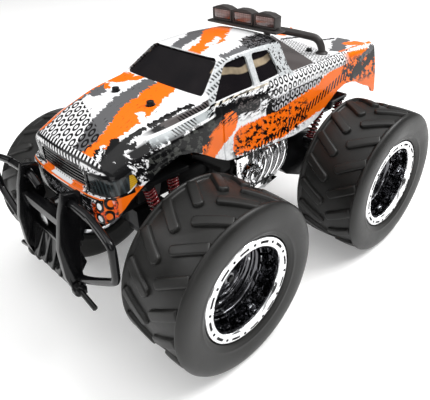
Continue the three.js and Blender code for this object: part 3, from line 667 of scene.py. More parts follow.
def carcass_profile():
    bead = [(30.6, 46.7), (31.7, 47.8), (32.5, 49.3), (32.9, 50.6), (33.2, 51.2), (33.4, 51.9),
            (34.0, 54.4), (34.7, 58), (35.0, 62), (34.9, 65.5), (34.3, 68.6), (33.2, 71.3),
            (31.9, 73.0), (30.6, 73.8), (29.6, 73.7), (28.9, 72.9), (28.4, 71.8), (27.7, 70.9)]
    flat = [(x, float(tread_floor(x))) for x in np.linspace(26.5, 0, 24)]
    outer = bead + flat
    lining = [(29.2, 50.0), (31.2, 60.0), (28.0, 67.0), (0.0, 68.0)]
    inner = [(-x, r) for x, r in lining] + [(x, r) for x, r in reversed(lining[:-1])]
    return outer + [(-x, r) for x, r in reversed(outer[:-1])] + inner


def lug_outline(grow):
    """Half of a lug's plan, from its outer end round one side to its inner end."""
    length = (LUG_ENDS[1] - LUG_ENDS[0]) / 2 * 1.2 + grow
    width = LUG_HALF_WIDTH + grow
    outer, inner = max(0.4, 1.4 + grow), max(0.6, 3.4 + grow)
    turn = [math.radians(d) for d in (0, 30, 60, 90)]
    half = [(length - outer + outer * math.cos(a), width - outer + outer * math.sin(a)) for a in turn]
    for t in np.linspace(0, 1, 9)[1:-1]:
        half.append((length - outer - t * (2 * length - outer - inner), width))
    half += [(-length + inner - inner * math.sin(a), width - inner + inner * math.cos(a)) for a in turn]
    return half


def lug_points(side, y, row, start):
    run = Vector((LUG_ENDS[1] - LUG_ENDS[0], -LUG_SLANT))
    along, across = run.normalized(), Vector((-run.y, run.x)).normalized()
    middle = Vector((LUG_ENDS[0], 0)) + run / 2
    stretch = run.length / ((LUG_ENDS[1] - LUG_ENDS[0]) * 1.2)
    points = []
    for grow, lift in LUG_LEVELS:
        half = lug_outline(grow)
        for a, b in half + [(a, -b) for a, b in reversed(half)]:
            spot = middle + along * (a * stretch) + across * b
            r = float(tread_floor(min(spot.x, 30))) + lift
            points.append(on_wheel(side, y, row * spot.x, r, start + spot.y / MM_PER_DEGREE))
    return points


def tyre_mesh(name, side, y):
    """The carcass, with its lugs standing on the tread in two staggered rows."""
    count = 2 * len(lug_outline(0))
    levels = len(LUG_LEVELS)
    block = grid_faces(levels, count, wrap_cols=True)
    block.append(tuple(range(count)))
    top = (levels - 1) * count
    block += [(top + i, top + i + 1, top + count - 2 - i, top + count - 1 - i)
              for i in range(count // 2 - 1)]
    points, faces = [], []
    for row, phase in ((1, OUTER_ROW_PHASE), (-1, INNER_ROW_PHASE)):
        for k in range(LUGS_PER_ROW):
            shift = len(points)
            points += lug_points(side, y, row, phase + LUG_PITCH * k)
            faces += [tuple(i + shift for i in face) for face in block]
    lugs = tidy(mesh_piece(name + "_lugs", points, faces), 50.0, 2e-6)
    body = spun(name + "_body", side, y, carcass_profile(), carcass_relief)
    return joined(name, [body, lugs])


def barrel_relief(gx, gr, gd):
    """Two staggered rings of pockets round the mouth of the rim's barrel."""
    wall = (gr > 35) & (gr < 39.5) & (gx > 1)
    pitch = 360 / POCKETS_PER_RING
    for middle, stagger in ((22.3, 0), (14.6, pitch / 2)):
        local = np.abs(np.mod(gd + stagger, pitch) - pitch / 2)
        away = np.maximum(np.radians(local) * BARREL_RADIUS - 3.1, np.abs(gx - middle) - 2.8)
        gr = gr + 2.4 * smoothstep(0.4, -0.4, away) * wall
    return gx, gr


def barrel_profile():
    wall = [(x, 35.2 + 2.2 * (x - 6) / 20.5) for x in np.linspace(26.5, 9.0, 34)]
    ribs = [(8.0, 35.0), (7.2, 33.8), (6.2, 35.0), (4.6, 34.6), (3.8, 33.4), (2.8, 34.4),
            (1.2, 34.0), (0.2, 32.6), (-1.0, 33.6)]
    disc = [(-1.8, 32.8), (-2.4, 30.6), (-1.0, 30.0), (-0.8, 28.4), (-2.2, 27.6), (-2.4, 25.2),
            (0.2, 23.8), (0.8, 21.8), (0.6, 19.6), (2.4, 18.6), (2.8, 16.4), (2.6, 14.6),
            (4.2, 13.6), (4.6, 11.8), (4.6, 10.2), (5.8, 9.4), (6.2, 8.0), (6.2, 3.9)]
    back = [(-11.8, 3.9), (-11.8, 9.0), (-6.0, 12.5), (-5.6, 20.0), (-5.6, 38.0), (-25, 41.0),
            (-29, 41.5), (-29.8, 43.0), (-29.8, 45.6), (-25.5, 45.6), (-23.0, 42.6), (21.0, 42.6),
            (24.0, 45.6), (26.4, 45.6)]
    return wall + ribs + disc + back


def ring_mesh(name, side, y, metal, slot_look):
    """The bead-lock ring, with twelve slots and a small bolt head between each two."""
    profile = [(26.9, 45.9), (30.0, 45.9), (30.9, 45.2), (31.3, 43.8), (31.3, 39.2), (30.7, 38.0),
               (29.0, 37.0), (26.9, 36.9)]
    ring = spun(name + "_band", side, y, profile, steps=144, sharp=30.0)
    bars = []
    for k in range(RING_SLOTS):
        middle = FIRST_SLOT + RING_PITCH * k
        spread = np.linspace(-SLOT_HALF_ANGLE, SLOT_HALF_ANGLE, 9)
        arc = [on_wheel(side, y, SLOT_FLOOR_X, SLOT_OUTSIDE, middle + d) for d in spread]
        arc += [on_wheel(side, y, SLOT_FLOOR_X, SLOT_INSIDE, middle + d) for d in spread[::-1]]
        front = [(p[0] + side * 2.5, p[1], p[2]) for p in arc]
        bars.append(tidy(mesh_piece(f"{name}_bar_{k}", arc + front, prism_faces(len(arc)))))
    cut(ring, [joined(name + "_bars", bars)])
    tidy(ring, 30.0)
    finished(ring, metal, slot_look)
    mouth = (HALF_TRACK + SLOT_FLOOR_X) / 1000 + 5e-5
    axle = pt(0, y, TYRE_RADIUS)
    for face in ring.data.polygons:
        centre = face.center
        reach = 1000 * math.hypot(centre.y - axle.y, centre.z - axle.z)
        on_track = SLOT_INSIDE - 0.4 < reach < SLOT_OUTSIDE + 0.4
        if abs(centre.x) < mouth and abs(face.normal.x) > 0.9 and on_track:
            face.material_index = 1
    bolts = []
    for k in range(RING_SLOTS):
        centre = on_wheel(side, y, 31.2, 42.0, FIRST_SLOT + RING_PITCH * (k + 0.5))
        head = [(-0.6, 0.0), (-0.6, 1.25), (0.3, 1.2), (0.55, 0.8), (0.55, 0.0)]
        bolts.append(finished(revolve(f"{name}_bolt_{k}", head, 12, centre, side), slot_look))
    return joined(name, [ring, *bolts])


def placed(obj, body, node, material=None):
    """Lets a piece ride on a body and stand for a CAD node, with a material if one is given."""
    if material is not None:
        finished(obj, material)
    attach(obj, body)
    if node:
        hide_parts(node)
    return obj


def rubber_look():
    g = Graph("tyre_rubber_look")
    _, where = g.place()
    broad = g.noise(where, 0.05, 3.0)
    fine = g.noise(where, 1.3, 4.0, 0.6, seed=2.0)
    tone = g.mix((0.0072, 0.0071, 0.0067), (0.0158, 0.0154, 0.0144),
                 clamp(broad * 1.3 + fine * 0.7 + 0.45))
    return g.finish(Base_Color=tone, Roughness=clamp(fine * 0.25 + broad * 0.3 + 0.42),
                    Normal=g.bump(fine, 0.05), Specular_IOR_Level=0.34)


def rim_look():
    """Dark bright plating, with painted bright reflections in places where its facets would catch the
    light.
    """
    g = Graph("rim_plating")
    _, where = g.place()
    wavy = g.noise(where, 0.16, 2.0)
    haze = g.noise(where, 0.5, 4.0, 0.65, seed=5.0)
    painted_glint = g.noise(where, 0.09, 2.0, 0.5, seed=21.0)
    tone = g.mix((0.085, 0.085, 0.09), (0.14, 0.14, 0.15), clamp(haze * 1.8 + 0.6))
    # painted reflection: patches of bright plating colour standing for facets that catch the light
    tone = g.mix(tone, (0.80, 0.81, 0.83), painted_glint.above(0.10, 0.05))
    return g.finish(Base_Color=tone, Metallic=1.0, Roughness=clamp(haze * 0.12 + 0.07),
                    Normal=g.bump(wavy, 0.3))


def make_wheels():
    rubber = rubber_look()
    smoke = rim_look()
    bright = plated("ring_plating", (0.93, 0.93, 0.94), 0.14, 0.1, 0.06)
    dark = moulded("slot_paint", (0.010, 0.010, 0.011), 0.4)
    steel = plated("nut_plating", (0.22, 0.22, 0.23), 0.16, 0.1, 0.3)
    for prefix, side, y, body in WHEEL_SPOTS:
        tyre = tyre_mesh(prefix + "_tyre_skin", side, y)
        placed(tyre, body, prefix + "_tyre", rubber)
        barrel = spun(prefix + "_rim_form", side, y, barrel_profile(), barrel_relief, 384, 32.0)
        placed(barrel, body, prefix + "_rim", smoke)
        ring = ring_mesh(prefix + "_ring_form", side, y, bright, dark)
        placed(ring, body, prefix + "_bead_ring")
        at = (side * HALF_TRACK, y, TYRE_RADIUS)
        nut = revolve(prefix + "_nut_form", NUT_PROFILE, 6, at, side, 20.0)
        bevelled(nut, 0.35, 2)
        placed(nut, body, prefix + "_wheel_nut", steel)


make_wheels()


# ---------------------------------------------------------------- body surface

# y, height of the crown, then half width and height of each line along the body:
# panel edge, rail, belt, shoulder, widest place, skirt
SECTIONS = (
    (-184, 168.5, (27, 168), (33, 167), (45, 164.5), (54, 160), (57.5, 148), (56, 112)),
    (-160, 177.5, (29, 177.2), (37, 176.3), (49.5, 174), (58, 168.5), (60.5, 150), (59, 112)),
    (-140, 185.3, (30, 185), (43, 184.3), (52.5, 180.5), (61, 174.5), (61.5, 152), (60, 112)),
    (-107, 193, (31, 192.8), (50, 192), (55.5, 186), (62.4, 179), (62.6, 157), (60.5, 112)),
    (-73, 196.3, (34, 196.2), (54.5, 195), (58, 186.5), (61.8, 180), (61, 158), (60, 112)),
    (-42, 221, (30, 220.5), (42, 218.5), (55, 188.5), (58.5, 183), (60.5, 160), (60, 112)),
    (-6, 224, (31, 223), (43, 219.5), (55, 189), (58.5, 183.5), (60.5, 160), (60, 112)),
    (34, 222, (30, 221), (41, 217.5), (55, 190), (58.5, 184.5), (60.5, 160), (60, 112)),
    (41, 189, (40, 189), (47.5, 189), (53, 191.5), (58.8, 188), (60.8, 162), (60, 112)),
    (100, 189, (44, 189), (48.5, 189), (53, 191.8), (59, 188), (61.2, 164), (60, 112)),
    (190, 189, (44, 189), (48.5, 189), (53.5, 192), (59.5, 188), (62, 165), (61.5, 112)),
)
CREASES = (-73, -42, 34, 41)
CORNER_REACH = (6.0, 2.8, 2.2, 3.4, 12.0)  # how far each line's rounding runs
POINTS_BETWEEN = (3, 9, 2, 6, 12)  # points of a section between two roundings
NOSE_Y = -171
TAIL_TOP_Y = 172.8
TAIL_FOOT_Y = 183
TAIL_LEAN = 0.205
WALL = 2.0
GROOVES = (-57, -9.5, 29)  # places of the door's joints along the side
GROOVE_DEPTH = 0.75
GROOVE_WIDTH = 0.55
ARCH_FLARE = 1.1  # how far the skin swells out beside the wheel arches
STATION_STEP = 2.4
# how far the skin lies below the section at a distance behind the nose, and before the tail
FRONT_EDGE = ((0.0, 3.9), (0.4, 2.3), (1.2, 1.1), (2.4, 0.35), (4.0, 0.0))
BACK_EDGE = ((0.0, 2.0), (0.3, 1.0), (1.0, 0.3), (2.0, 0.0))
# the bumper cap: heights on the nose, and how far forward the face comes there
NOSE_CAP = ((167.5, 0.5), (164, 0.6), (158, 0.4), (153.4, 0.2), (152.0, 0.9), (151.0, 3.2),
            (149.6, 4.7), (147.5, 5.2), (141, 5.4), (134, 5.2), (129.5, 4.4), (127.6, 2.6), (112, 2.0))
TAIL_LEVELS = (186, 182, 176, 168, 160, 150, 139, 125, 112)
FINE = np.arange(-200.0, 200.01, 0.5)
SKIRT = ((-215, 128), (-169, 129.5), (-161.5, 136), (-151.5, 145), (-138.5, 154), (-122, 162.5),
         (-107, 166), (-92, 163), (-79, 155), (-67, 147), (-54, 140), (-38, 137.5),
         (36, 131.5), (60, 133), (75, 139), (90, 149), (103, 157), (116, 161), (128, 160.3),
         (139.5, 157.2), (150, 151.8), (160, 147.3), (168, 144.8), (172.5, 141.5), (175.5, 136.2),
         (205, 131))
FRONT_WINDOW = ((-62, 191), (-38.5, 215), (-14, 216.5), (-12.5, 191.5))
REAR_WINDOW = ((-6, 191.7), (-7.5, 216.5), (16, 214.5), (22, 193))
POSTS = ((23.5, -100, 196.5), (21, 108, 191.5))  # x, y and height of the body posts' tips
POST_HOLE_RADIUS = 4.0
SIDES = (("left", 1), ("right", -1))


def soften(values, width):
    reach = max(1, int(3 * width))
    steps = np.arange(-reach, reach + 1)
    kernel = np.exp(-0.5 * (steps / width) ** 2)
    start = 2 * values[0] - values[reach:0:-1]
    end = 2 * values[-1] - values[-2:-reach - 2:-1]
    return np.convolve(np.concatenate([start, values, end]), kernel / kernel.sum(), "valid")


def flowing(values, creased):
    """One coordinate of one line along the body: soft between its knots, crisp at the creases."""
    knots = [s[0] for s in SECTIONS]
    slope = (values[1] - values[0]) / (knots[1] - knots[0])
    line = np.interp(FINE, [-200, *knots, 200], [values[0] - 16 * slope, *values, values[-1]])
    if creased:
        breaks = [-200, *CREASES, 200]
        for low, high in zip(breaks, breaks[1:]):
            part = (FINE >= low) & (FINE <= high)
            width = 14 if high - low > 20 else 3
            line[part] = soften(line[part], min(width, part.sum() / 7))
        return soften(line, 2.6)
    return soften(line, 14)


def body_lines():
    crown = flowing([s[1] for s in SECTIONS], True)
    lines = [(np.zeros_like(FINE), crown)]
    for j in range(6):
        creased = j < 2
        lines.append((flowing([s[2 + j][0] for s in SECTIONS], creased),
                      flowing([s[2 + j][1] for s in SECTIONS], creased)))
    return lines


LINES = body_lines()


def toward(corner, other, reach):
    """The place where a corner's rounding ends, on the way to another corner."""
    run = other - corner
    length = np.hypot(*run)
    return corner + run * (min(reach, 0.45 * length) / length)


def ring(y):
    """Half of the body's section at y, from the crown down to the skirt, as (x, z) rows."""
    c = [np.array([np.interp(y, FINE, x), np.interp(y, FINE, z)]) for x, z in LINES]
    points = []
    for t in np.linspace(0, 1, 13):
        x = t * (c[1][0] - CORNER_REACH[0] - 1.5)
        points.append((x, c[0][1] + (c[1][1] - c[0][1]) * (x / c[1][0]) ** 2))
    for j, count in enumerate(POINTS_BETWEEN, 1):
        here, after = c[j], c[j + 1]
        start, end = toward(here, c[j - 1], CORNER_REACH[j - 1]), toward(here, after, CORNER_REACH[j - 1])
        for t in np.linspace(0, 1, 7):
            points.append(tuple((1 - t) ** 2 * start + 2 * t * (1 - t) * here + t * t * end))
        stop = toward(after, here, CORNER_REACH[j]) if j < 5 else after
        for k in range(1, count + 1):
            t = k / (count + 1) if j < 5 else k / count
            points.append(tuple(end * (1 - t) + stop * t))
    return np.array(points)


def outward(points):
    step = np.gradient(points, axis=0)
    normal = np.stack([-step[:, 1], step[:, 0]], -1)
    normal /= np.maximum(np.hypot(normal[:, 0], normal[:, 1]), 1e-9)[:, None]
    normal[0] = (0, 1)
    return normal


def arch_distance(y, z):
    best = np.full(np.shape(z), 99.0)
    for (y0, z0), (y1, z1) in zip(SKIRT, SKIRT[1:]):
        run = np.array([y1 - y0, z1 - z0])
        t = np.clip(((y - y0) * run[0] + (z - z0) * run[1]) / (run @ run), 0, 1)
        best = np.minimum(best, np.hypot(y - y0 - t * run[0], z - z0 - t * run[1]))
    return best


def nose_bow(x, y):
    t = np.clip(np.abs(x) / 63, 0, 1)
    return (5 * t ** 2 + 8 * t ** 7) * smoothstep(-122, NOSE_Y, y)


def tail_sweep(z, y):
    reach = np.clip((189 - z) * TAIL_LEAN, -2, TAIL_FOOT_Y - TAIL_TOP_Y)
    return reach * smoothstep(96, TAIL_TOP_Y, y)


def body_rows(inset):
    """Every row of the skin: along the roof and bonnet, then down the nose and the tail."""
    stations = set(np.arange(NOSE_Y + 5, TAIL_TOP_Y - STATION_STEP, STATION_STEP).round(3))
    for crease in CREASES:
        stations |= {crease + d for d in (-1.8, -0.9, 0, 0.9, 1.8)}
    for groove in GROOVES:
        stations |= {groove + d for d in (-1.6, -1.0, -0.5, 0, 0.5, 1.0, 1.6)}
    rows = []
    listed = [(NOSE_Y + d, drop) for d, drop in FRONT_EDGE]
    listed += [(y, 0.0) for y in sorted(stations)]
    listed += [(TAIL_TOP_Y - d, drop) for d, drop in reversed(BACK_EDGE)]
    for y, drop in listed:
        half = ring(y)
        half = half - outward(half) * (inset + drop)
        half[:, 0] = np.maximum(half[:, 0], 0)
        half[0, 0] = 0
        x, z = half[:, 0], half[:, 1]
        yy = np.clip(y, NOSE_Y + inset, TAIL_TOP_Y - inset)
        low = smoothstep(176, 166, z) * smoothstep(100, 126, z)
        x = x + ARCH_FLARE * smoothstep(6.5, 1.5, arch_distance(yy, z)) * low * (abs(yy + 16) < 150)
        for groove in GROOVES:
            depth = GROOVE_DEPTH * math.exp(-((yy - groove) / GROOVE_WIDTH) ** 2)
            x = x - depth * smoothstep(136, 141, z) * (z < 189)
        rows.append(np.stack([x, yy + nose_bow(x, yy) + tail_sweep(z, yy), z], -1))
    nose = [lowered(rows[0], level) for level, _ in NOSE_CAP]
    for row, (level, ahead) in zip(nose, NOSE_CAP):
        moved = rows[0][:, 2] > level
        front = NOSE_Y + inset + nose_bow(row[:, 0], NOSE_Y) - ahead * smoothstep(56.5, 50, row[:, 0])
        row[:, 1] = np.where(moved, front, row[:, 1])
    tail = [lowered(rows[-1], level) for level in TAIL_LEVELS]
    for row in tail:
        row[:, 1] = TAIL_TOP_Y - inset + tail_sweep(row[:, 2], TAIL_TOP_Y)
    return nose[::-1] + rows + tail


def lowered(row, level):
    """A section's row with all that is above a level brought down to it, inside the outline."""
    row = row.copy()
    top = int(np.argmax(row[:, 2]))
    limit = np.interp(level, row[top:, 2][::-1], row[top:, 0][::-1])
    high = row[:, 2] > level
    inside = np.maximum.accumulate(np.minimum(row[:, 0], limit))
    row[:, 0] = np.where(high, inside, row[:, 0])
    row[:, 2] = np.minimum(row[:, 2], level)
    return row


def both_sides(rows):
    """Rows of half a section turned into points across the whole body."""
    points = []
    for row in rows:
        points += [(-p[0], p[1], p[2]) for p in row[:0:-1]]
        points += [tuple(p) for p in row]
    return points


def shell(name, inset, thickness, span=None):
    """A closed wall between two depths below the skin, open underneath; span keeps a stretch of y."""
    outer, inner = body_rows(inset), body_rows(inset + thickness)
    if span:
        kept = [i for i, row in enumerate(outer) if span[0] < row[0][1] < span[1]]
        outer, inner = [outer[i] for i in kept], [inner[i] for i in kept]
    count, across = len(outer), 2 * len(outer[0]) - 1
    points = both_sides(outer) + both_sides(inner)
    faces = grid_faces(count, across)
    shift = count * across
    faces += [tuple(k + shift for k in reversed(face)) for face in faces]
    rim = [*range(across), *(i * across + across - 1 for i in range(1, count))]
    rim += [(count - 1) * across + j for j in range(across - 2, -1, -1)]
    rim += [i * across for i in range(count - 2, 0, -1)]
    for a, b in zip(rim, rim[1:] + rim[:1]):
        faces.append((a, b, b + shift, a + shift))
    return tidy(mesh_piece(name, points, faces), 32.0, 1e-6)


# ---------------------------------------------------------------- the shell's printed paint

WHITE = (0.86, 0.86, 0.87)
ORANGE = (0.95, 0.165, 0.006)
DEEP_ORANGE = (0.88, 0.085, 0.002)
GREY = (0.115, 0.115, 0.120)
FENDER_GREY = (0.050, 0.052, 0.048)
BLACK = (0.004, 0.004, 0.0045)
SILVER = (0.42, 0.45, 0.46)
CREAM = (0.62, 0.56, 0.44)
BROWN_GREY = (0.085, 0.074, 0.073)

# Brush strokes as (colour, from, to, half width), in the order in which they lie over each
# other: across and along the truck on its upper faces, along and up on its sides.
TOP_STROKES = (
    (GREY, (-56, -98), (-36, -109), 7.5),
    (GREY, (-46, -116), (-47, -164), 4.5),
    (ORANGE, (-60, -84), (-42, -79), 10),
    (ORANGE, (-42, -82), (-26, -72), 4),
    (ORANGE, (-44, -94), (-36, -99), 2.5),
    (ORANGE, (-51, -98), (-48, -158), 5),
    (GREY, (-12, -76), (-5, -108), 8.5),
    (GREY, (-5, -108), (7, -135), 9),
    (GREY, (7, -135), (18, -160), 9.5),
    (ORANGE, (7, -74), (16, -100), 12),
    (ORANGE, (16, -100), (24, -120), 14),
    (ORANGE, (24, -120), (33, -142), 11.5),
    (ORANGE, (32, -140), (27, -160), 6.5),
    (WHITE, (26, -113), (40, -119), 2.6),
    (WHITE, (42, -124), (43, -136), 6),
    (BLACK, (38, -146), (56, -158), 5.5),
    (BLACK, (34, -156), (50, -163), 4),
    (BLACK, (50, -138), (44, -150), 3),
    (BLACK, (47, -170), (56, -164), 5),
    (WHITE, (32, -152), (40, -161), 1.6),
    (GREY, (-9, -44), (-19, -12), 6.5),
    (GREY, (-19, -12), (-44, 30), 8.5),
    (ORANGE, (13, -42), (7, -16), 8),
    (ORANGE, (6, -16), (-14, 10), 11.5),
    (ORANGE, (-14, 10), (-28, 38), 12),
    (WHITE, (7, -8), (15, -27), 2.4),
    (GREY, (30, 38), (36, 4), 11),
    (GREY, (39, 0), (40, -34), 4.5),
    (GREY, (40, 130), (26, 158), 7.5),
    (GREY, (26, 156), (22, 176), 8.5),
    (ORANGE, (38, 158), (50, 176), 7.5),
    (ORANGE, (49, 128), (53, 178), 4),
    (ORANGE, (-44, 146), (-40, 178), 8.5),
    (BLACK, (-24, 150), (-26, 177), 3.5),
    (BLACK, (-30, 128), (-22, 142), 3),
    (ORANGE, (-30, 58), (-36, 84), 7),
    (BLACK, (-38, 92), (-22, 104), 5),
    (WHITE, (-8, 150), (4, 172), 5),
    (BLACK, (6, 150), (12, 164), 2.2),
)
SIDE_UNDERCOAT = (
    (FENDER_GREY, (-134, 168), (-60, 173), 12),
    (BLACK, (-60, 182), (-4, 178), 6.5),
    (WHITE, (-30, 176), (12, 168), 7.5),
    (BLACK, (2, 168), (72, 177), 6.5),
)
SIDE_STROKES = (
    (ORANGE, (-74, 158), (-50, 172), 10),
    (ORANGE, (-34, 152), (20, 150), 13),
    (ORANGE, (20, 150), (84, 160), 15),
    (ORANGE, (84, 166), (122, 172), 12),
    (ORANGE, (122, 166), (180, 160), 26),
    (BLACK, (136, 168), (172, 182), 6.5),
    (GREY, (146, 180), (166, 186), 3.5),
    (ORANGE, (150, 174), (156, 179), 2.2),
    (ORANGE, (-172, 141), (-144, 143), 12),
    (WHITE, (-150, 174), (-138, 169), 4.5),
    (WHITE, (-142, 163), (-139, 158), 5),
    (BLACK, (-182, 171), (-154, 176), 6.5),
    (WHITE, (-162, 178), (-156, 176), 1.6),
)
TAIL_STROKES = (
    (WHITE, (-60, 184), (-14, 178), 5),
    (GREY, (-52, 172), (-34, 180), 6),
    (FENDER_GREY, (12, 184), (54, 168), 8),
    (WHITE, (20, 150), (52, 156), 3),
    (GREY, (-50, 150), (-36, 158), 6),
)
# Middles of the large ovals on the lower front corners: along and up on the side, then across
# and up on the face.
SIDE_OVALS = ((-165.6, 147.2), (-167.8, 136.4))
FACE_OVALS = ((48.5, 145.0), (47.5, 134.0))
BONNET_RIM_Z = 168  # the front upper edge of the bonnet
DARK_BAND = 200.6  # heights of the two bands on the bonnet's shoulder, where they pass y = 0
SILVER_BAND = 194.2
TICK_PITCH = 3.8
BAR_PITCH = 4.6


def rings(u, v, across, along, half_u, half_v, line):
    """Staggered rows of oval links: 1 on the line of each link."""
    row = (v * (1 / along)).floor()
    lu = ((u * (1 / across) + row * 0.5).wrap() - 0.5) * (across / half_u)
    lv = ((v * (1 / along)).wrap() - 0.5) * (along / half_v)
    d = (lu * lu + lv * lv).root()
    return d.below(1.0, 0.16) * d.above(1 - line / half_u, 0.16)


def oval(u, v, half_u, half_v):
    """How far a place lies from an oval's middle: 1 on its edge."""
    u, v = u * (1 / half_u), v * (1 / half_v)
    return (u * u + v * v).root()


def capsule(g, spot, a, b, half, soft=0.5):
    """1 within a distance of the line from a to b."""
    run = (b[0] - a[0], b[1] - a[1])
    length = run[0] ** 2 + run[1] ** 2
    rel = g.vec("SUBTRACT", spot, (a[0], a[1], 0))
    t = clamp(g.vec("DOT_PRODUCT", rel, (run[0] / length, run[1] / length, 0)))
    off = g.vec("SUBTRACT", rel, g.vector(t * run[0], t * run[1]))
    return g.vec("LENGTH", off).below(half, soft)


def near(value, middle, half, soft):
    """1 within a distance of a middle value."""
    return abs(value - middle).below(half, soft)


def stroked(g, paint, spot, strokes):
    return g.layers(paint, *((colour, capsule(g, spot, a, b, half)) for colour, a, b, half in strokes))


def slanted_bars(u, z):
    return ((u - z * 0.35) * (1 / BAR_PITCH)).wrap().below(0.52, 0.08)


def lip_paint(g, x, y, ragged):
    """The lip over the bumper: white in the middle, orange outside, smeared below the lamps."""
    band = g.mix(WHITE, ORANGE, (abs(x) + ragged[0] * 0.4).above(15, 1))
    smear = g.noise(g.vector(x * 0.2, y * 0.45), 1.0, 4.0, 0.62, seed=17.0)
    collar = abs(x).above(29, 3) * abs(x).below(56, 3)
    return g.layers(band, (WHITE, collar * smear.above(-0.12, 0.02)),
                    (BLACK, collar * smear.above(0.03, 0.02)))


def bonnet_edge(g, x, y, ragged):
    """The two ragged black strokes that follow the bonnet's left edge."""
    torn = g.vector(x + ragged[0] * 0.8, y + ragged[1] * 0.5)
    hind = capsule(g, torn, (49.5, -82), (47.0, -118), 2.6, 0.4)
    fore = capsule(g, g.vector(x + ragged[0] * 0.5, y), (45.0, -124), (43.0, -146), 2.2, 0.4)
    return hind, fore


def upper_paint(g, x, y, z, ragged, speck):
    """The roof, the bonnet and the bed cover."""
    spot = g.vector(x + ragged[0], y + ragged[1])
    paint = g.mix(WHITE, tuple(c * 0.93 for c in WHITE), speck.above(0.12, 0.2))
    paint = stroked(g, paint, spot, TOP_STROKES)
    bonnet = z.above(BONNET_RIM_Z, 0.5)
    front = (y + x * 0.36 + ragged[1] * 0.7).below(-138, 1.0) * x.below(24, 3) * x.above(-43, 3)
    front_links = rings(x + y * 0.1, y + x * 0.32, 7.8, 8.2, 3.2, 3.9, 1.7) * front * bonnet
    brow = (y - abs(x) * 0.05).below(-164.5, 0.5) * abs(x).below(44, 1) * bonnet
    ticks = ((x * 0.9 + y * 0.5 + ragged[0] * 0.12) * (1 / TICK_PITCH)).wrap().below(0.55, 0.12)
    cover = capsule(g, spot, (40, 98), (-20, 116), 15, 2.0)
    cover_links = rings(x + y * 0.5, y - x * 0.5, 7.0, 6.4, 2.7, 3.0, 1.3) * cover * 0.9
    rail = abs(x).above(49.5, 0.8) * y.above(42, 1.0) * y.below(132, 6)
    rail_links = rings(abs(x) * 1.2, y, 6.0, 6.8, 2.5, 3.0, 1.35) * rail
    slant = y + x * 0.55
    patch = slant.below(106, 0.6) * slant.above(52, 0.6) * y.above(41.5, 0.5) * abs(x).below(48.5, 0.4)
    hind_edge, fore_edge = bonnet_edge(g, x, y, ragged)
    tyre_print = capsule(g, spot, (28, 38), (36, 4), 12, 2.0) * speck.above(-0.02, 0.05)
    scratches = g.noise(g.vector(x * 0.5 + y * 0.12, y * 0.09 - x * 0.05), 1.0, 5.0, 0.62, seed=9.0)
    return g.layers(
        paint,
        (BLACK, front_links),
        (WHITE, brow),
        (BLACK, ticks * brow),
        (lip_paint(g, x, y, ragged), y.below(-160, 1) * z.below(160, 1)),
        (BLACK, cover_links),
        (BLACK, rail_links),
        (BROWN_GREY, patch),
        (BLACK, hind_edge),
        (BLACK, fore_edge),
        (BLACK, tyre_print),
        (BLACK, scratches.above(0.125, 0.02) * y.below(-70, 5) * 0.9),
        (WHITE, scratches.below(-0.19, 0.02) * abs(x).above(36, 2) * y.below(-75, 4)),
    )


def shoulder_paint(g, paint, y, z, speck):
    """Two bands with dashes along the bonnet's shoulder, a dark one over a silver one, with white painted
    highlights along the ridges at the silver band's edges.
    """
    rise = z - 0.11 * y
    bonnet = y.below(-66, 4) * y.above(-152, 8)
    dark = near(rise, DARK_BAND, 2.6, 0.4)
    silver = near(rise, SILVER_BAND, 3.4, 0.5)
    hatch = ((y + z * 0.8) * 0.30).wrap().below(0.5, 0.1)
    low_hatch = hatch * y.below(-84, 2) * y.above(-108, 2) * near(rise, SILVER_BAND + 0.2, 2.2, 0.4)
    high_hatch = hatch * y.above(-98, 2) * y.below(-68, 2) * near(rise, DARK_BAND, 2.2, 0.4)
    return g.layers(
        paint,
        (WHITE, rise.above(203.0, 0.4) * bonnet),
        (BROWN_GREY, dark * bonnet),
        (BLACK, dark * (y + speck * 30).below(-112, 2) * bonnet),
        (SILVER, silver * bonnet),
        # painted highlights: white lines along the two ridges at the silver band's edges
        (WHITE, near(rise, SILVER_BAND + 3.4, 0.8, 0.4) * bonnet),
        (WHITE, near(rise, SILVER_BAND - 3.3, 0.9, 0.4) * bonnet),
        (BLACK, low_hatch),
        (BLACK, high_hatch),
        (BLACK, silver * (y + speck * 20).below(-128, 2) * bonnet),
    )


def flank_marks(g, paint, y, z, speck):
    """The door's dark top, the pale belt, the links along the bed and the marks at the front corner."""
    here = g.vector(y, z)
    door_top = capsule(g, here, (-34, 182), (-17, 179), 6.5, 1.5) * z.below(188.5, 0.5)
    belt = near(z, 190.0, 0.7, 0.3) * y.above(-62, 1) * y.below(32, 1)
    links = rings(y, z, 6.6, 7.4, 2.7, 3.4, 1.4)
    rail = (z - 0.03 * y).above(177, 0.8) * (z + y * 0.12).above(170, 1) * y.above(4, 5) * y.below(120, 10)
    dark_links = links * capsule(g, here, (10, 170), (70, 177), 6) * speck.above(-0.2, 0.1)
    ovals = [oval(y - cy, z - cz, 4.2, 5.4) for cy, cz in SIDE_OVALS]
    arch_edge = SKIRT[1:6]
    socket = most(abs(y + 165) * (1 / 17.5), abs(z - 160.4) * (1 / 9.5)).below(1.0, 0.05)
    return g.layers(
        paint,
        (g.mix(BROWN_GREY, BLACK, speck.above(0.0, 0.05)), door_top),
        (CREAM, belt),
        (WHITE, rail),
        (BLACK, links * rail),
        ((0.5, 0.5, 0.52), dark_links),
        *((BLACK, reach.below(1.0, 0.1) * reach.above(0.52, 0.1)) for reach in ovals),
        *((BLACK, capsule(g, here, a, b, 1.2, 0.3)) for a, b in zip(arch_edge, arch_edge[1:])),
        (BLACK, socket),
    )


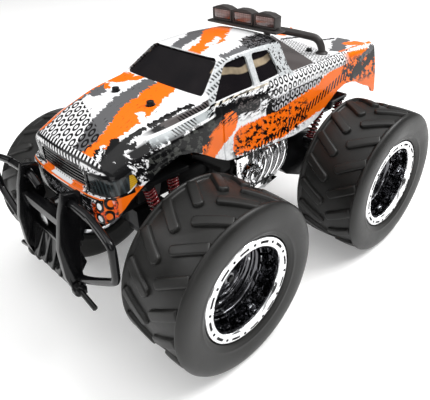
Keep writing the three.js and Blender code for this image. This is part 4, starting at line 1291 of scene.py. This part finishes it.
def flank_wear(g, paint, y, z, speck):
    """Slanted bars along the lower side, and splashes where the print is worn."""
    here = g.vector(y, z)
    bars = slanted_bars(y, z)
    track = near(z - 0.30 * y, 135.5, 4.4, 0.5) * y.above(14, 2) * y.below(122, 3)
    fore_track = near(z - 0.12 * y, 139.5, 3.0, 0.5) * y.above(-46, 2) * y.below(34, 3)
    splat = g.noise(g.vector(y * 0.16, z * 0.2 + y * 0.05), 1.0, 5.0, 0.66, seed=4.0)
    streaks = g.noise(g.vector(y * 0.10 + z * 0.12, z * 0.5 - y * 0.16), 1.0, 4.0, 0.6, seed=14.0)
    return g.layers(
        paint,
        (BLACK, bars * track * speck.above(-0.12, 0.05)),
        (BLACK, bars * fore_track * speck.above(-0.1, 0.05)),
        (BLACK, splat.above(0.02, 0.02) * capsule(g, here, (-34, 147), (44, 150), 15, 6)),
        (BLACK, splat.above(0.0, 0.02) * capsule(g, here, (124, 172), (172, 168), 13, 6)),
        (BLACK, splat.above(-0.03, 0.02) * capsule(g, here, (-142, 166), (-84, 170), 13, 5)),
        (BLACK, streaks.above(0.01, 0.02) * capsule(g, here, (-62, 184), (6, 178), 11, 5)),
    )


def side_paint(g, y, z, ragged, speck):
    spot = g.vector(y + ragged[1], z + ragged[0] * 0.6)
    paint = g.mix(WHITE, (0.62, 0.64, 0.66), speck.above(0.08, 0.3))
    paint = stroked(g, paint, spot, SIDE_UNDERCOAT)
    paint = shoulder_paint(g, paint, y, z, speck)
    paint = stroked(g, paint, spot, SIDE_STROKES)
    paint = flank_marks(g, paint, y, z, speck)
    return flank_wear(g, paint, y, z, speck)


def pillar_paint(g, y, z, speck):
    """Silver with rows of dark dashes, on the posts round the cab's windows."""
    paint = g.mix(SILVER, (0.66, 0.67, 0.68), speck.above(0.0, 0.3))
    dash = ((y + z * 0.9) * (1 / 4.2)).wrap().below(0.5, 0.1)
    dash = dash * ((z - y * 0.25) * (1 / 5.5)).wrap().below(0.6, 0.1)
    return g.layers(paint, (BLACK, dash * y.below(-20, 3) * 0.9),
                    (BLACK, speck.above(0.06, 0.03) * y.above(14, 3)))


def front_paint(g, x, z, speck):
    """The face: dark, with an orange and white strip under the grille."""
    strip = z.above(149.6, 0.4) * z.below(155.2, 0.5)
    blotch = g.noise(g.vector(x * 0.09, z * 0.05), 1.0, 3.0, 0.6, seed=6.0)
    dashes = (x * 0.3 + z * 0.2).wrap().below(0.4, 0.1) * abs(x).below(14, 1) * z.above(152.6, 0.2)
    corner = abs(x).above(33, 1) * z.below(166, 2) * z.above(128, 2)
    scuffs = g.noise(g.vector(x * 0.26, z * 0.14), 1.0, 4.0, 0.62, seed=15.0)
    collar = z.above(146.5, 1) * abs(x).above(27, 2) * abs(x).below(55, 3)
    brow = z.above(BONNET_RIM_Z + 1.5, 0.5) * abs(x).below(46, 1)
    ticks = ((x * 0.9 + z * 0.5) * (1 / TICK_PITCH)).wrap().below(0.5, 0.12)
    mouth = z.below(149, 0.5) * abs(x).below(42, 1.5)
    lines = ((x * 0.6 + z * 1.4) * 0.28).wrap().below(0.4, 0.1) * z.above(138, 1) * z.below(146, 1)
    ovals = []
    for cx, cz in FACE_OVALS:
        reach = oval(abs(x) - cx, z - cz, 3.6, 5.2)
        ovals.append((WHITE, reach.below(0.6, 0.1)))
        ovals.append((BLACK, reach.below(1.0, 0.1) * reach.above(0.55, 0.1)))
    return g.layers(
        g.mix(BLACK, (0.05, 0.05, 0.055), speck.above(0.1, 0.2)),
        (WHITE, strip),
        (ORANGE, strip * (abs(x) + blotch * 18).above(15, 1)),
        (GREY, strip * dashes),
        (BLACK, strip * near(z, 150.8, 0.45, 0.2)),
        (DEEP_ORANGE, corner * speck.above(-0.02, 0.1)),
        (WHITE, collar * scuffs.above(-0.05, 0.02)),
        (BLACK, collar * scuffs.above(0.06, 0.02)),
        (WHITE, brow * ticks),
        (BLACK, mouth),
        ((0.4, 0.4, 0.42), mouth * lines * speck.above(0.02, 0.05)),
        *ovals,
        (BLACK, abs(x).above(31.5, 0.4) * near(z, 158.6, 9.4, 0.6)),
    )


def tail_paint(g, x, z, ragged, speck):
    """The tailgate: the side's orange, worn dark at its ends."""
    paint = g.mix(ORANGE, DEEP_ORANGE, clamp(speck * 2 + 0.5))
    paint = stroked(g, paint, g.vector(x + ragged[1], z + ragged[0] * 0.6), TAIL_STROKES)
    splat = g.noise(g.vector(x * 0.16, z * 0.22), 1.0, 5.0, 0.66, seed=4.0)
    track = near(z, 149.5, 1.8, 0.3) * abs(x).below(40, 3)
    return g.layers(paint, (BLACK, splat.above(0.04, 0.02) * abs(x).above(30, 12)),
                    (BLACK, slanted_bars(x, z) * track * speck.above(-0.12, 0.05)))


def livery():
    g = Graph("printed_shell_look")
    (x, y, z), where = g.place()
    _, ny, nz = g.normal()
    broad = g.noise(where, 0.055, 2.0, seed=1.0)
    spikes = g.noise(g.vector(x * 0.05, y * 0.42, z * 0.42), 1.0, 4.0, 0.62, seed=2.0)
    drops = g.noise(where, 0.24, 4.0, 0.65, seed=7.0)
    ragged = (broad * 7 + spikes * 15 + drops * 4, broad * 6 + drops * 6)
    speck = g.noise(where, 0.42, 4.0, 0.7, seed=11.0)
    upper = upper_paint(g, x, y, z, ragged, speck)
    pillar = pillar_paint(g, y, z, speck)
    side = g.mix(side_paint(g, y, z, ragged, speck), pillar,
                 z.above(191.5, 0.6) * y.above(-66, 2) * y.below(40, 1))
    cowl = y.above(33, 1) * y.below(41, 1) * nz.below(0.75, 0.2) * z.above(189, 0.5)
    face = ny.below(-0.62, 0.1) * y.below(-150, 4) * nz.below(0.6, 0.1)
    paint = g.layers(
        upper,
        (side, clamp(0.5 + (0.82 - nz) * 14)),
        (pillar, cowl),
        (front_paint(g, x, z, speck), face),
        (tail_paint(g, x, z, ragged, speck), ny.above(0.62, 0.1) * y.above(160, 3)),
    )
    peel = g.noise(where, 0.5, 2.0, seed=3.0)
    return g.finish(Base_Color=paint, Roughness=clamp(speck * 0.08 + 0.19), Coat_Weight=0.2,
                    Coat_Roughness=0.035, Normal=g.bump(peel, 0.03),
                    Specular_IOR_Level=0.12)


# ---------------------------------------------------------------- body pieces


def window_cutters(name, outline, radius):
    shape = filleted(outline, radius, 6)
    return [side_prism(f"{name}_{side}", shape, side, 36, 75) for side in (-1, 1)]


def make_shell():
    obj = shell("printed_body", 0.0, WALL)
    below = [*SKIRT, (205, 90), (-215, 90)]
    cutters = [prism("under", filleted(below, 2.5, 3), "x", -80, 80)]
    openings = window_cutters("front_window", FRONT_WINDOW, 4.0)
    openings += window_cutters("rear_window", REAR_WINDOW, 4.0)
    screen = [(-50.5, 197.0), (50.5, 197.0), (39.5, 219), (-39.5, 219)]
    back = [(-35, 197), (35, 197), (32, 213), (-32, 213)]
    openings.append(prism("back", filleted(back, 4, 6), "y", 20, 60))
    lamp = [(-182, 151), (-176, 150.5), (-152, 152.5), (-143.5, 158), (-146, 165.5), (-182, 165.5)]
    for side in (-1, 1):
        openings.append(side_prism(f"lamp_{side}", filleted(lamp, 2.0, 4), side, 34, 76))
        for px, py, _ in POSTS:
            circle = [(side * px + POST_HOLE_RADIUS * math.cos(a), py + POST_HOLE_RADIUS * math.sin(a))
                      for a in angles(24)]
            openings.append(prism(f"hole_{side}_{py}", circle, "z", 150, 220))
    grille = [(-31, 153.5), (31, 153.5), (31, 164.5), (29, 167.2), (-29, 167.2), (-31, 164.5)]
    openings.append(prism("grille", filleted(grille, 1.5, 3), "y", -190, -160))
    cutters.append(slab("tail_notch", -56, 56, 164, 215, 80, 146, 2.0))
    cut(obj, cutters)
    cut(obj, [prism("screen", filleted(screen, 4.5, 6), "y", -80, -20)])
    cut(obj, [joined("openings", openings)])
    tidy(obj, 34.0)
    placed(obj, "chassis", "body_shell", livery())


make_shell()


def glass_look():
    """Dark tinted glazing, with a faint pale tan band painted across the side windows as a painted
    reflection.
    """
    g = Graph("tinted_glazing_look")
    (x, y, z), where = g.place()
    cloud = g.noise(where, 0.045, 3.0, 0.55, seed=5.0)
    wave = g.noise(where, 0.02, 2.0, seed=8.0)
    tone = g.mix((0.0035, 0.003, 0.0045), (0.012, 0.0095, 0.0105), clamp(cloud * 1.6 + 0.4))
    # painted reflection: a pale tan band across the upper part of the side windows
    rise = z + y * 0.10 + wave * 26
    painted_reflection_band = rise.above(205.6, 1.0) * rise.below(212.0, 1.0) * abs(x).above(40, 1)
    tone = g.mix(tone, (0.46, 0.37, 0.25), painted_reflection_band * clamp(cloud * 3 + 0.75) * 0.85)
    return g.finish(Base_Color=tone, Roughness=clamp(cloud * 0.05 + 0.14), Coat_Weight=0.12,
                    Coat_Roughness=0.02, Normal=g.bump(wave, 0.3), Specular_IOR_Level=0.14)


def headlamp_look():
    """Smoked reflector bars behind a gloss cover, with an amber end; the bars' lighter tone is a painted
    highlight.
    """
    g = Graph("headlamp_look")
    (x, y, z), where = g.place()
    bars = ((abs(x) * 0.75 + y * 0.55 + z * 0.2) * 0.30).wrap()
    cloud = g.noise(where, 0.22, 4.0, 0.6, seed=4.0)
    # painted highlight: the lighter stripes of the reflector bars
    tone = g.mix((0.012, 0.015, 0.016), (0.032, 0.042, 0.046), clamp(bars.above(0.62, 0.2) + cloud * 1.2))
    rim = clamp((z - 163.2) * 0.9) + clamp((152.8 - z) * 0.9)
    tone = g.mix(tone, (0.01, 0.01, 0.011), clamp(rim))
    lens = g.mix((0.42, 0.22, 0.006), (0.66, 0.40, 0.03), ((y + z * 1.2) * 0.5).wrap())
    tone = g.mix(tone, lens, (y - z * 0.12).above(-169.5, 0.6))
    return g.finish(Base_Color=tone, Roughness=0.18, Coat_Weight=0.5, Coat_Roughness=0.02,
                    Normal=g.bump(bars, 0.5, 0.6), Specular_IOR_Level=0.2)


def skin_part(node, inset, thickness, cutter, material, span=None):
    obj = shell(node + "_form", inset, thickness, span)
    cut(obj, [cutter], "INTERSECT")
    tidy(obj, 34.0)
    return placed(obj, "chassis", node, material)


def make_glass_and_lamps():
    cab = [(-74, 190.4), (39, 190.4), (39, 230), (-74, 230)]
    skin_part("cab_glazing", WALL + 0.3, 1.1, prism("cab_room", cab, "x", -70, 70),
              glass_look(), (-82, 46))
    lamp = headlamp_look()
    shape = filleted([(-181, 151.5), (-176, 151.0), (-152.4, 153.0), (-144.1, 158.2), (-146.5, 165.0),
                      (-181, 165.0)], 1.8, 4)
    for word, side in SIDES:
        room = side_prism("lamp_room_" + word, shape, side, 34.5, 75)
        skin_part("headlamp_" + word, 0.7, 2.6, room, lamp)


def swept(name, stations, section):
    """A bar of fixed section carried along a row of (x, y, z) places; the section is in y and z."""
    points = [(x, y + dy, z + dz) for x, y, z in stations for dy, dz in section]
    count = len(section)
    faces = grid_faces(len(stations), count, wrap_cols=True)
    last = (len(stations) - 1) * count
    faces += [tuple(range(count)), tuple(range(last, last + count))]
    return tidy(mesh_piece(name, points, faces), 40.0)


SLATS = 4
LOWEST_SLAT = 156.4
SLAT_PITCH = 2.75


def make_grille():
    """Slats that follow the bow of the nose, in a thin frame before a dark backing."""
    def face(x, depth):
        return NOSE_Y + float(nose_bow(x, NOSE_Y)) + depth
    parts = []
    spread = np.linspace(-30.4, 30.4, 25)
    blade = filleted([(-0.7, -0.8), (0.7, -0.5), (0.7, 0.5), (-0.5, 0.4)], 0.3, 2)
    for k in range(SLATS):
        z = LOWEST_SLAT + SLAT_PITCH * k
        parts.append(swept(f"slat_{k}", [(x, face(x, 0.9), z) for x in spread], blade))
    lip = filleted([(-0.2, -0.5), (2.6, -0.5), (2.6, 0.5), (-0.2, 0.5)], 0.3, 2)
    for z in (154.2, 166.6):
        parts.append(swept(f"lip_{z}", [(x, face(x, 0.4), z) for x in spread * 0.995], lip))
    back = [(3.0, -6.6), (4.0, -6.6), (4.0, 6.4), (3.0, 6.4)]
    parts.append(swept("backing", [(x, face(x, 0.0), 160.4) for x in spread], back))
    for x in (-30.1, -10.2, 10.2, 30.1):
        parts.append(slab(f"upright_{x}", x - 0.5, x + 0.5, face(x, 1.4), face(x, 3.6), 154, 167, 0.2))
    grille = joined("grille_insert_form", parts)
    placed(grille, "chassis", "grille_insert",
           moulded("grille_plastic", (0.006, 0.006, 0.0065), 0.2, coat=0.8))


def mirrored(points):
    return [(-x, y, z) for x, y, z in points]


def both(points):
    """A path that runs from one side to the other through the middle."""
    return points + mirrored(points[-2::-1])


def make_roll_bar(dark):
    half = [(36, 109, 189.5), (35.9, 108.4, 193.5), (35.3, 107.2, 197.6), (33.8, 105.8, 201.2),
            (30.6, 104.8, 203.8), (26, 104.2, 204.8), (13, 104, 205.3), (0, 104, 205.5)]
    parts = [tube("roll_bar_tube", both(half), 3.7, 28, 8)]
    foot = [(0, 3.2), (0, 6.2), (0.9, 6.2), (1.6, 5.2), (2.2, 4.2), (2.2, 3.2)]
    for s in (-1, 1):
        parts.append(revolve("roll_bar_foot", foot, 40, (s * 36, 109, 189.2), axis="z"))
    placed(joined("roll_bar_form", parts), "chassis", "roll_bar", dark)


def make_bull_bar(gloss):
    hoop = [(60, -186.8, 148.5), (74, -189, 147.5), (87, -191, 145.8), (91.4, -191.4, 143.4),
            (92.6, -191.6, 138), (91.8, -191.7, 122), (90.6, -191.7, 115.5), (87, -191.9, 111),
            (72, -192.4, 102), (56, -192.8, 93), (46, -192.9, 88), (35.8, -193, 84)]
    rail = [(62, -186.5, 147), (52, -186.2, 147.8), (41, -186, 148), (32, -186, 148), (25, -186, 147),
            (19, -186, 144), (15.6, -186, 141.8)]
    parts = []
    for flip in (lambda p: p, mirrored):
        parts.append(tube("hoop", flip(hoop), 3.0, 24, 6))
        parts.append(tube("rail", flip(rail), 3.4, 24, 6))
    for s in (-1, 1):
        parts.append(revolve("rail_cap", [(0, 0), (0, 3.4), (1.2, 3.2), (2.0, 2.2), (2.2, 0)], 28,
                             (s * 61.5, -186.5, 147), s))
    placed(joined("bull_bar_form", parts), "chassis", "bull_bar", gloss)


def fog_lens_look():
    g = Graph("fog_lens_look")
    (x, _, _), where = g.place()
    ribs = (x * 0.55).wrap()
    tone = g.mix((0.30, 0.31, 0.32), (0.72, 0.72, 0.72), clamp(g.noise(where, 0.3, 3.0) + ribs))
    return g.finish(Base_Color=tone, Roughness=0.14, Coat_Weight=1.0, Normal=g.bump(ribs, 0.35, 0.7))


def make_fog_lamps(gloss):
    pane = fog_lens_look()
    cup_profile = [(-3.6, 6.7), (-4.3, 6.9), (-4.1, 7.3), (-3.0, 7.4), (1.0, 7.0), (3.4, 4.6), (3.6, 0),
                   (-1.4, 0), (-1.6, 6.4)]
    lens_profile = [(-4.6, 0), (-4.4, 2.8), (-4.0, 4.8), (-3.2, 6.6), (-2.0, 6.6), (-2.0, 0)]
    for word, side in SIDES:
        at = (side * 13, -186.4, 115.5)
        cup = finished(revolve("fog_cup", cup_profile, 48, at, axis="y"), gloss)
        lens = finished(revolve("fog_lens", lens_profile, 48, at, axis="y"), pane)
        lamp = joined(f"fog_lamp_{word}_form", [cup, lens])
        placed(lamp, "chassis", "fog_lamp_" + word)


# ---------------------------------------------------------------- springs

SPRINGS = (
    ("front_outer", (50, -121, 106), (50, -130, 144), "front_swing"),
    ("front_inner", (50, -104, 106), (50, -106, 144), "front_swing"),
    ("rear_inner", (50, 79, 110), (52, 92, 139), "rear_swing"),
    ("rear_outer", (50, 122, 104), (51, 126, 139), "rear_swing"),
)
COIL_RADIUS = 4.0
COIL_WIRE = 1.0
COIL_PITCH = 3.6
POINTS_PER_TURN = 14
END_COIL_FLATNESS = 0.056


def enamel_look():
    g = Graph("spring_enamel")
    _, where = g.place()
    cloud = g.noise(where, 0.35, 4.0, 0.6)
    tone = g.mix((0.075, 0.003, 0.005), (0.23, 0.010, 0.012), clamp(cloud * 1.8 + 0.5))
    return g.finish(Base_Color=tone, Roughness=clamp(cloud * 0.2 + 0.26), Coat_Weight=0.6,
                    Normal=g.bump(cloud, 0.05))


def coil_path(low, high):
    """The wire's way round the line from low to high, with its end coils lying almost flat."""
    along = (high - low).normalized()
    first = along.cross(Vector((0, 1, 0))).normalized()
    second = along.cross(first)
    reach = (high - low).length - 2 * COIL_WIRE
    turns = reach / COIL_PITCH + 1
    count = int(turns * POINTS_PER_TURN)
    path = []
    for i in range(count + 1):
        t = i / count
        a = 2 * math.pi * turns * t
        lift = reach * (t - END_COIL_FLATNESS * math.sin(2 * math.pi * t))
        out = first * math.cos(a) + second * math.sin(a)
        path.append(low + along * (COIL_WIRE + lift) + out * COIL_RADIUS)
    return path


def make_springs():
    enamel = enamel_look()
    damper = moulded("damper_enamel", (0.05, 0.005, 0.006), 0.3, coat=0.4)
    for name, foot, top, swing in SPRINGS:
        for word, side in SIDES:
            low, high = (Vector((side * x, y, z)) for x, y, z in (foot, top))
            span = (high - low).length
            inside = (high - low) * (1 - 2 * COIL_WIRE / span)
            coil = tube(f"{name}_coil_{word}", coil_path(low, high), COIL_WIRE, 10, 1)
            rod = tube(f"{name}_rod_{word}", [low + inside * t for t in (0.02, 0.5, 1.0)], 1.9, 14, 6)
            coil = joined(f"{name}_coil_{word}", [finished(coil, enamel), finished(rod, damper)])
            tuple(pt(*low))
            tuple(pt(*high))
            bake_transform(coil)
            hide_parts(f"{name}_spring_{word}")


# ---------------------------------------------------------------- chassis, axles and drive

def dress(node, material, width, segments=2, angle=30.0):
    """A CAD node with rounded edges and its own finish."""
    body = next(name for name, held in frame["record"]["behaviour"]["bodies"].items() if node in held)
    placed(refined(node, width, segments, angle), body, None, material)


def lens_look():
    """Smoked, slightly red panes with a fine square pattern moulded in, lighter towards their top as a
    painted highlight.
    """
    g = Graph("smoked_lens_look")
    (x, _, z), where = g.place()
    u, v = (x * 0.42).wrap() - 0.5, (z * 0.42).wrap() - 0.5
    grid = most(abs(u), abs(v))
    cloud = g.noise(where, 0.12, 3.0, seed=3.0)
    # painted highlight: the panes grow lighter towards their top edge
    tone = g.mix((0.09, 0.040, 0.036), (0.34, 0.22, 0.20), clamp(cloud * 1.6 + (z - 233.5) * 0.09 + 0.3))
    tone = g.mix(tone, (0.02, 0.012, 0.012), grid.above(0.44, 0.08) * 0.6)
    return g.finish(Base_Color=tone, Roughness=0.12, Coat_Weight=1.0, Normal=g.bump(grid, 0.4, 0.8))


def board_look():
    g = Graph("board_look")
    (x, y, _), where = g.place()
    tracks = most((x * 0.4).wrap(), (y * 0.31).wrap()).above(0.86, 0.05)
    tone = g.mix((0.012, 0.10, 0.035), (0.03, 0.22, 0.09), tracks)
    pads = g.cells(where, 0.35, 0.4).below(0.22, 0.05)
    return g.finish(Base_Color=g.mix(tone, (0.5, 0.48, 0.42), pads), Roughness=0.35, Coat_Weight=0.5,
                    Normal=g.bump(tracks, 0.15))


def sleeve_look():
    g = Graph("sleeve_look")
    (x, y, z), _ = g.place()
    wrinkle = g.noise(g.vector(x * 0.2, y * 0.05, z * 0.2), 1.0, 3.0)
    tone = g.mix((0.02, 0.07, 0.30), (0.05, 0.14, 0.5), clamp(wrinkle * 1.5 + 0.5))
    ends = abs(y).above(19.5, 0.6)
    return g.finish(Base_Color=g.mix(tone, (0.02, 0.02, 0.024), ends), Roughness=0.25,
                    Coat_Weight=0.7, Normal=g.bump(wrinkle, 0.3))


ENGINE_DRUM = (-8, 101)  # y and z of its middle
PIPE_BENDS = ((46.5, 1, 120), (49.3, 0.4, 114), (49.6, -1.5, 106), (48.2, -3.6, 98), (45.5, -6, 91))


def engine_pipes(s):
    """Four bent pipes, each with a flange."""
    flange = [(0, 0), (0, 4.3), (1.3, 4.3), (1.8, 3.7), (1.8, 0)]
    parts = []
    for k, y in enumerate((8, 18, 28, 38)):
        path = [(s * x, y + back, z) for x, back, z in PIPE_BENDS]
        parts.append(tube(f"pipe_{k}", path, 3.1, 18, 5))
        parts.append(revolve(f"flange_{k}", flange, 24, (s * 47.2, y - 0.4, 111), s))
    return parts


def engine_drum(s):
    """Two rings and eight bolt heads on the drum, and a row of bolt heads on the cover before it."""
    y, z = ENGINE_DRUM
    bolt = [(0, 0), (0, 1.0), (0.9, 0.8), (1.1, 0)]
    small_bolt = [(0, 0), (0, 1.1), (0.8, 0.9), (1.0, 0)]
    parts = []
    for r, x in ((8.6, 49.7), (6.2, 50.2)):
        rib = [(0, r - 0.7), (0, r + 0.7), (0.8, r + 0.4), (0.8, r - 0.4)]
        parts.append(revolve("drum_ring", rib, 48, (s * x, y, z), s))
    for k in range(8):
        a = k * math.pi / 4 + 0.2
        at = (s * 49.6, y + 9.9 * math.sin(a), z + 9.9 * math.cos(a))
        parts.append(revolve("drum_bolt", bolt, 8, at, s))
    for k in range(5):
        parts.append(revolve("cover_bolt", small_bolt, 8, (s * 44.4, -21 + 0.4 * k, 117 - 2.9 * k), s))
    return parts


def make_engines(chrome):
    """Bright engine sides: the cast block with pipes, a drum and bolts laid on it."""
    for word, s in SIDES:
        base = finished(refined("engine_" + word, 0.8, 3))
        engine = joined(f"engine_{word}_form", [base, *engine_pipes(s), *engine_drum(s)])
        placed(engine, "chassis", "engine_" + word, chrome)


def make_post_caps(dark):
    caps = []
    tip = [(-9, 2.9), (0.0, 3.05), (0.8, 2.9), (1.5, 2.2), (1.8, 1.2), (1.85, 0), (-9, 0)]
    for px, py, top in POSTS:
        for s in (-1, 1):
            collar = [(s * px + 3.4 * math.cos(a), py + 3.4 * math.sin(a), top - 4.2) for a in angles(16)]
            caps.append(revolve("post_tip", tip, 32, (s * px, py, top - 1.4), axis="z"))
            caps.append(tube("post_ring", collar, 0.5, 8, 2, True))
    placed(joined("body_post_tips", caps), "chassis", None, dark)


def make_rest():
    black = moulded("black_moulding", (0.005, 0.005, 0.0055), 0.45, 0.04, 0.15)
    satin = moulded("satin_black", (0.0065, 0.0065, 0.007), 0.34, 0.03, 0.15, coat=0.15)
    gloss = moulded("gloss_black", (0.0035, 0.0035, 0.004), 0.22, 0.01, 0.1, coat=0.3)
    dark = moulded("dark_grey_moulding", (0.040, 0.036, 0.035), 0.36, 0.03, 0.2, coat=0.2)
    chrome = plated("engine_plating", (0.90, 0.90, 0.91), 0.05, 0.5, 0.15)
    steel = plated("steel_look", (0.55, 0.55, 0.56), 0.22, 0.1, 0.25)
    nylon = moulded("nylon_look", (0.72, 0.70, 0.64), 0.4, 0.02, 0.06)
    make_roll_bar(dark)
    make_bull_bar(gloss)
    make_fog_lamps(gloss)
    make_engines(chrome)
    make_post_caps(satin)
    make_springs()
    make_tailgate(satin)
    dress("light_bar_housing", dark, 0.8, 3)
    lenses = lens_look()
    for word in ("left", "centre", "right"):
        dress("light_bar_lens_" + word, lenses, 0.4, 3)
    dress("bumper_frame", gloss, 0.7, 3)
    dress("chassis_tub", black, 0.5)
    for node in ("front_shock_tower", "rear_shock_tower", "front_axle", "steering_servo",
                 "gearbox_case", "gearbox_cover", "steering_knuckle_left", "steering_knuckle_right",
                 "battery_cover", "tie_rod"):
        dress(node, satin, 0.45)
    dress("power_switch", dark, 0.3)
    dress("battery_pack", sleeve_look(), 0.5, 2, 50)
    dress("circuit_board", board_look(), 0.15)
    dress("drive_motor", steel, 0.5)
    dress("rear_axle_shaft", steel, 0.4)
    for node in ("axle_gear", "idler_gear", "motor_pinion"):
        dress(node, nylon, 0.2)


HANDLE_Z = 168.5
LAMP_RIBS = 5
LOWEST_RIB = 152
RIB_PITCH = 5.5


def tail_y(z):
    """Where the tailgate's face stands at a height."""
    return TAIL_TOP_Y + float(tail_sweep(z, TAIL_TOP_Y))


def make_tailgate(dark):
    """A moulded frame, a pull handle and ribbed lamps on the tailgate."""
    frame_path = filleted([(-43, 152.5), (43, 152.5), (44, 180), (-44, 180)], 4, 5)
    rim = tube("gate_rim", [(x, tail_y(z) + 0.1, z) for x, z in frame_path], 0.8, 10, 2, True)
    grip = [(x, tail_y(HANDLE_Z) + 0.6, HANDLE_Z) for x in (-10, -4, 4, 10)]
    parts = [rim, tube("gate_handle", grip, 1.7, 14, 4)]
    for s in (-1, 1):
        for k in range(LAMP_RIBS):
            z = LOWEST_RIB + RIB_PITCH * k
            rib = [(s * x, tail_y(z), z) for x in (47.5, 51, 54.5)]
            parts.append(tube("gate_lamp", rib, 1.5, 14, 4))
    placed(joined("tailgate_trim", parts), "chassis", None, dark)


make_glass_and_lamps()
make_grille()
make_rest()
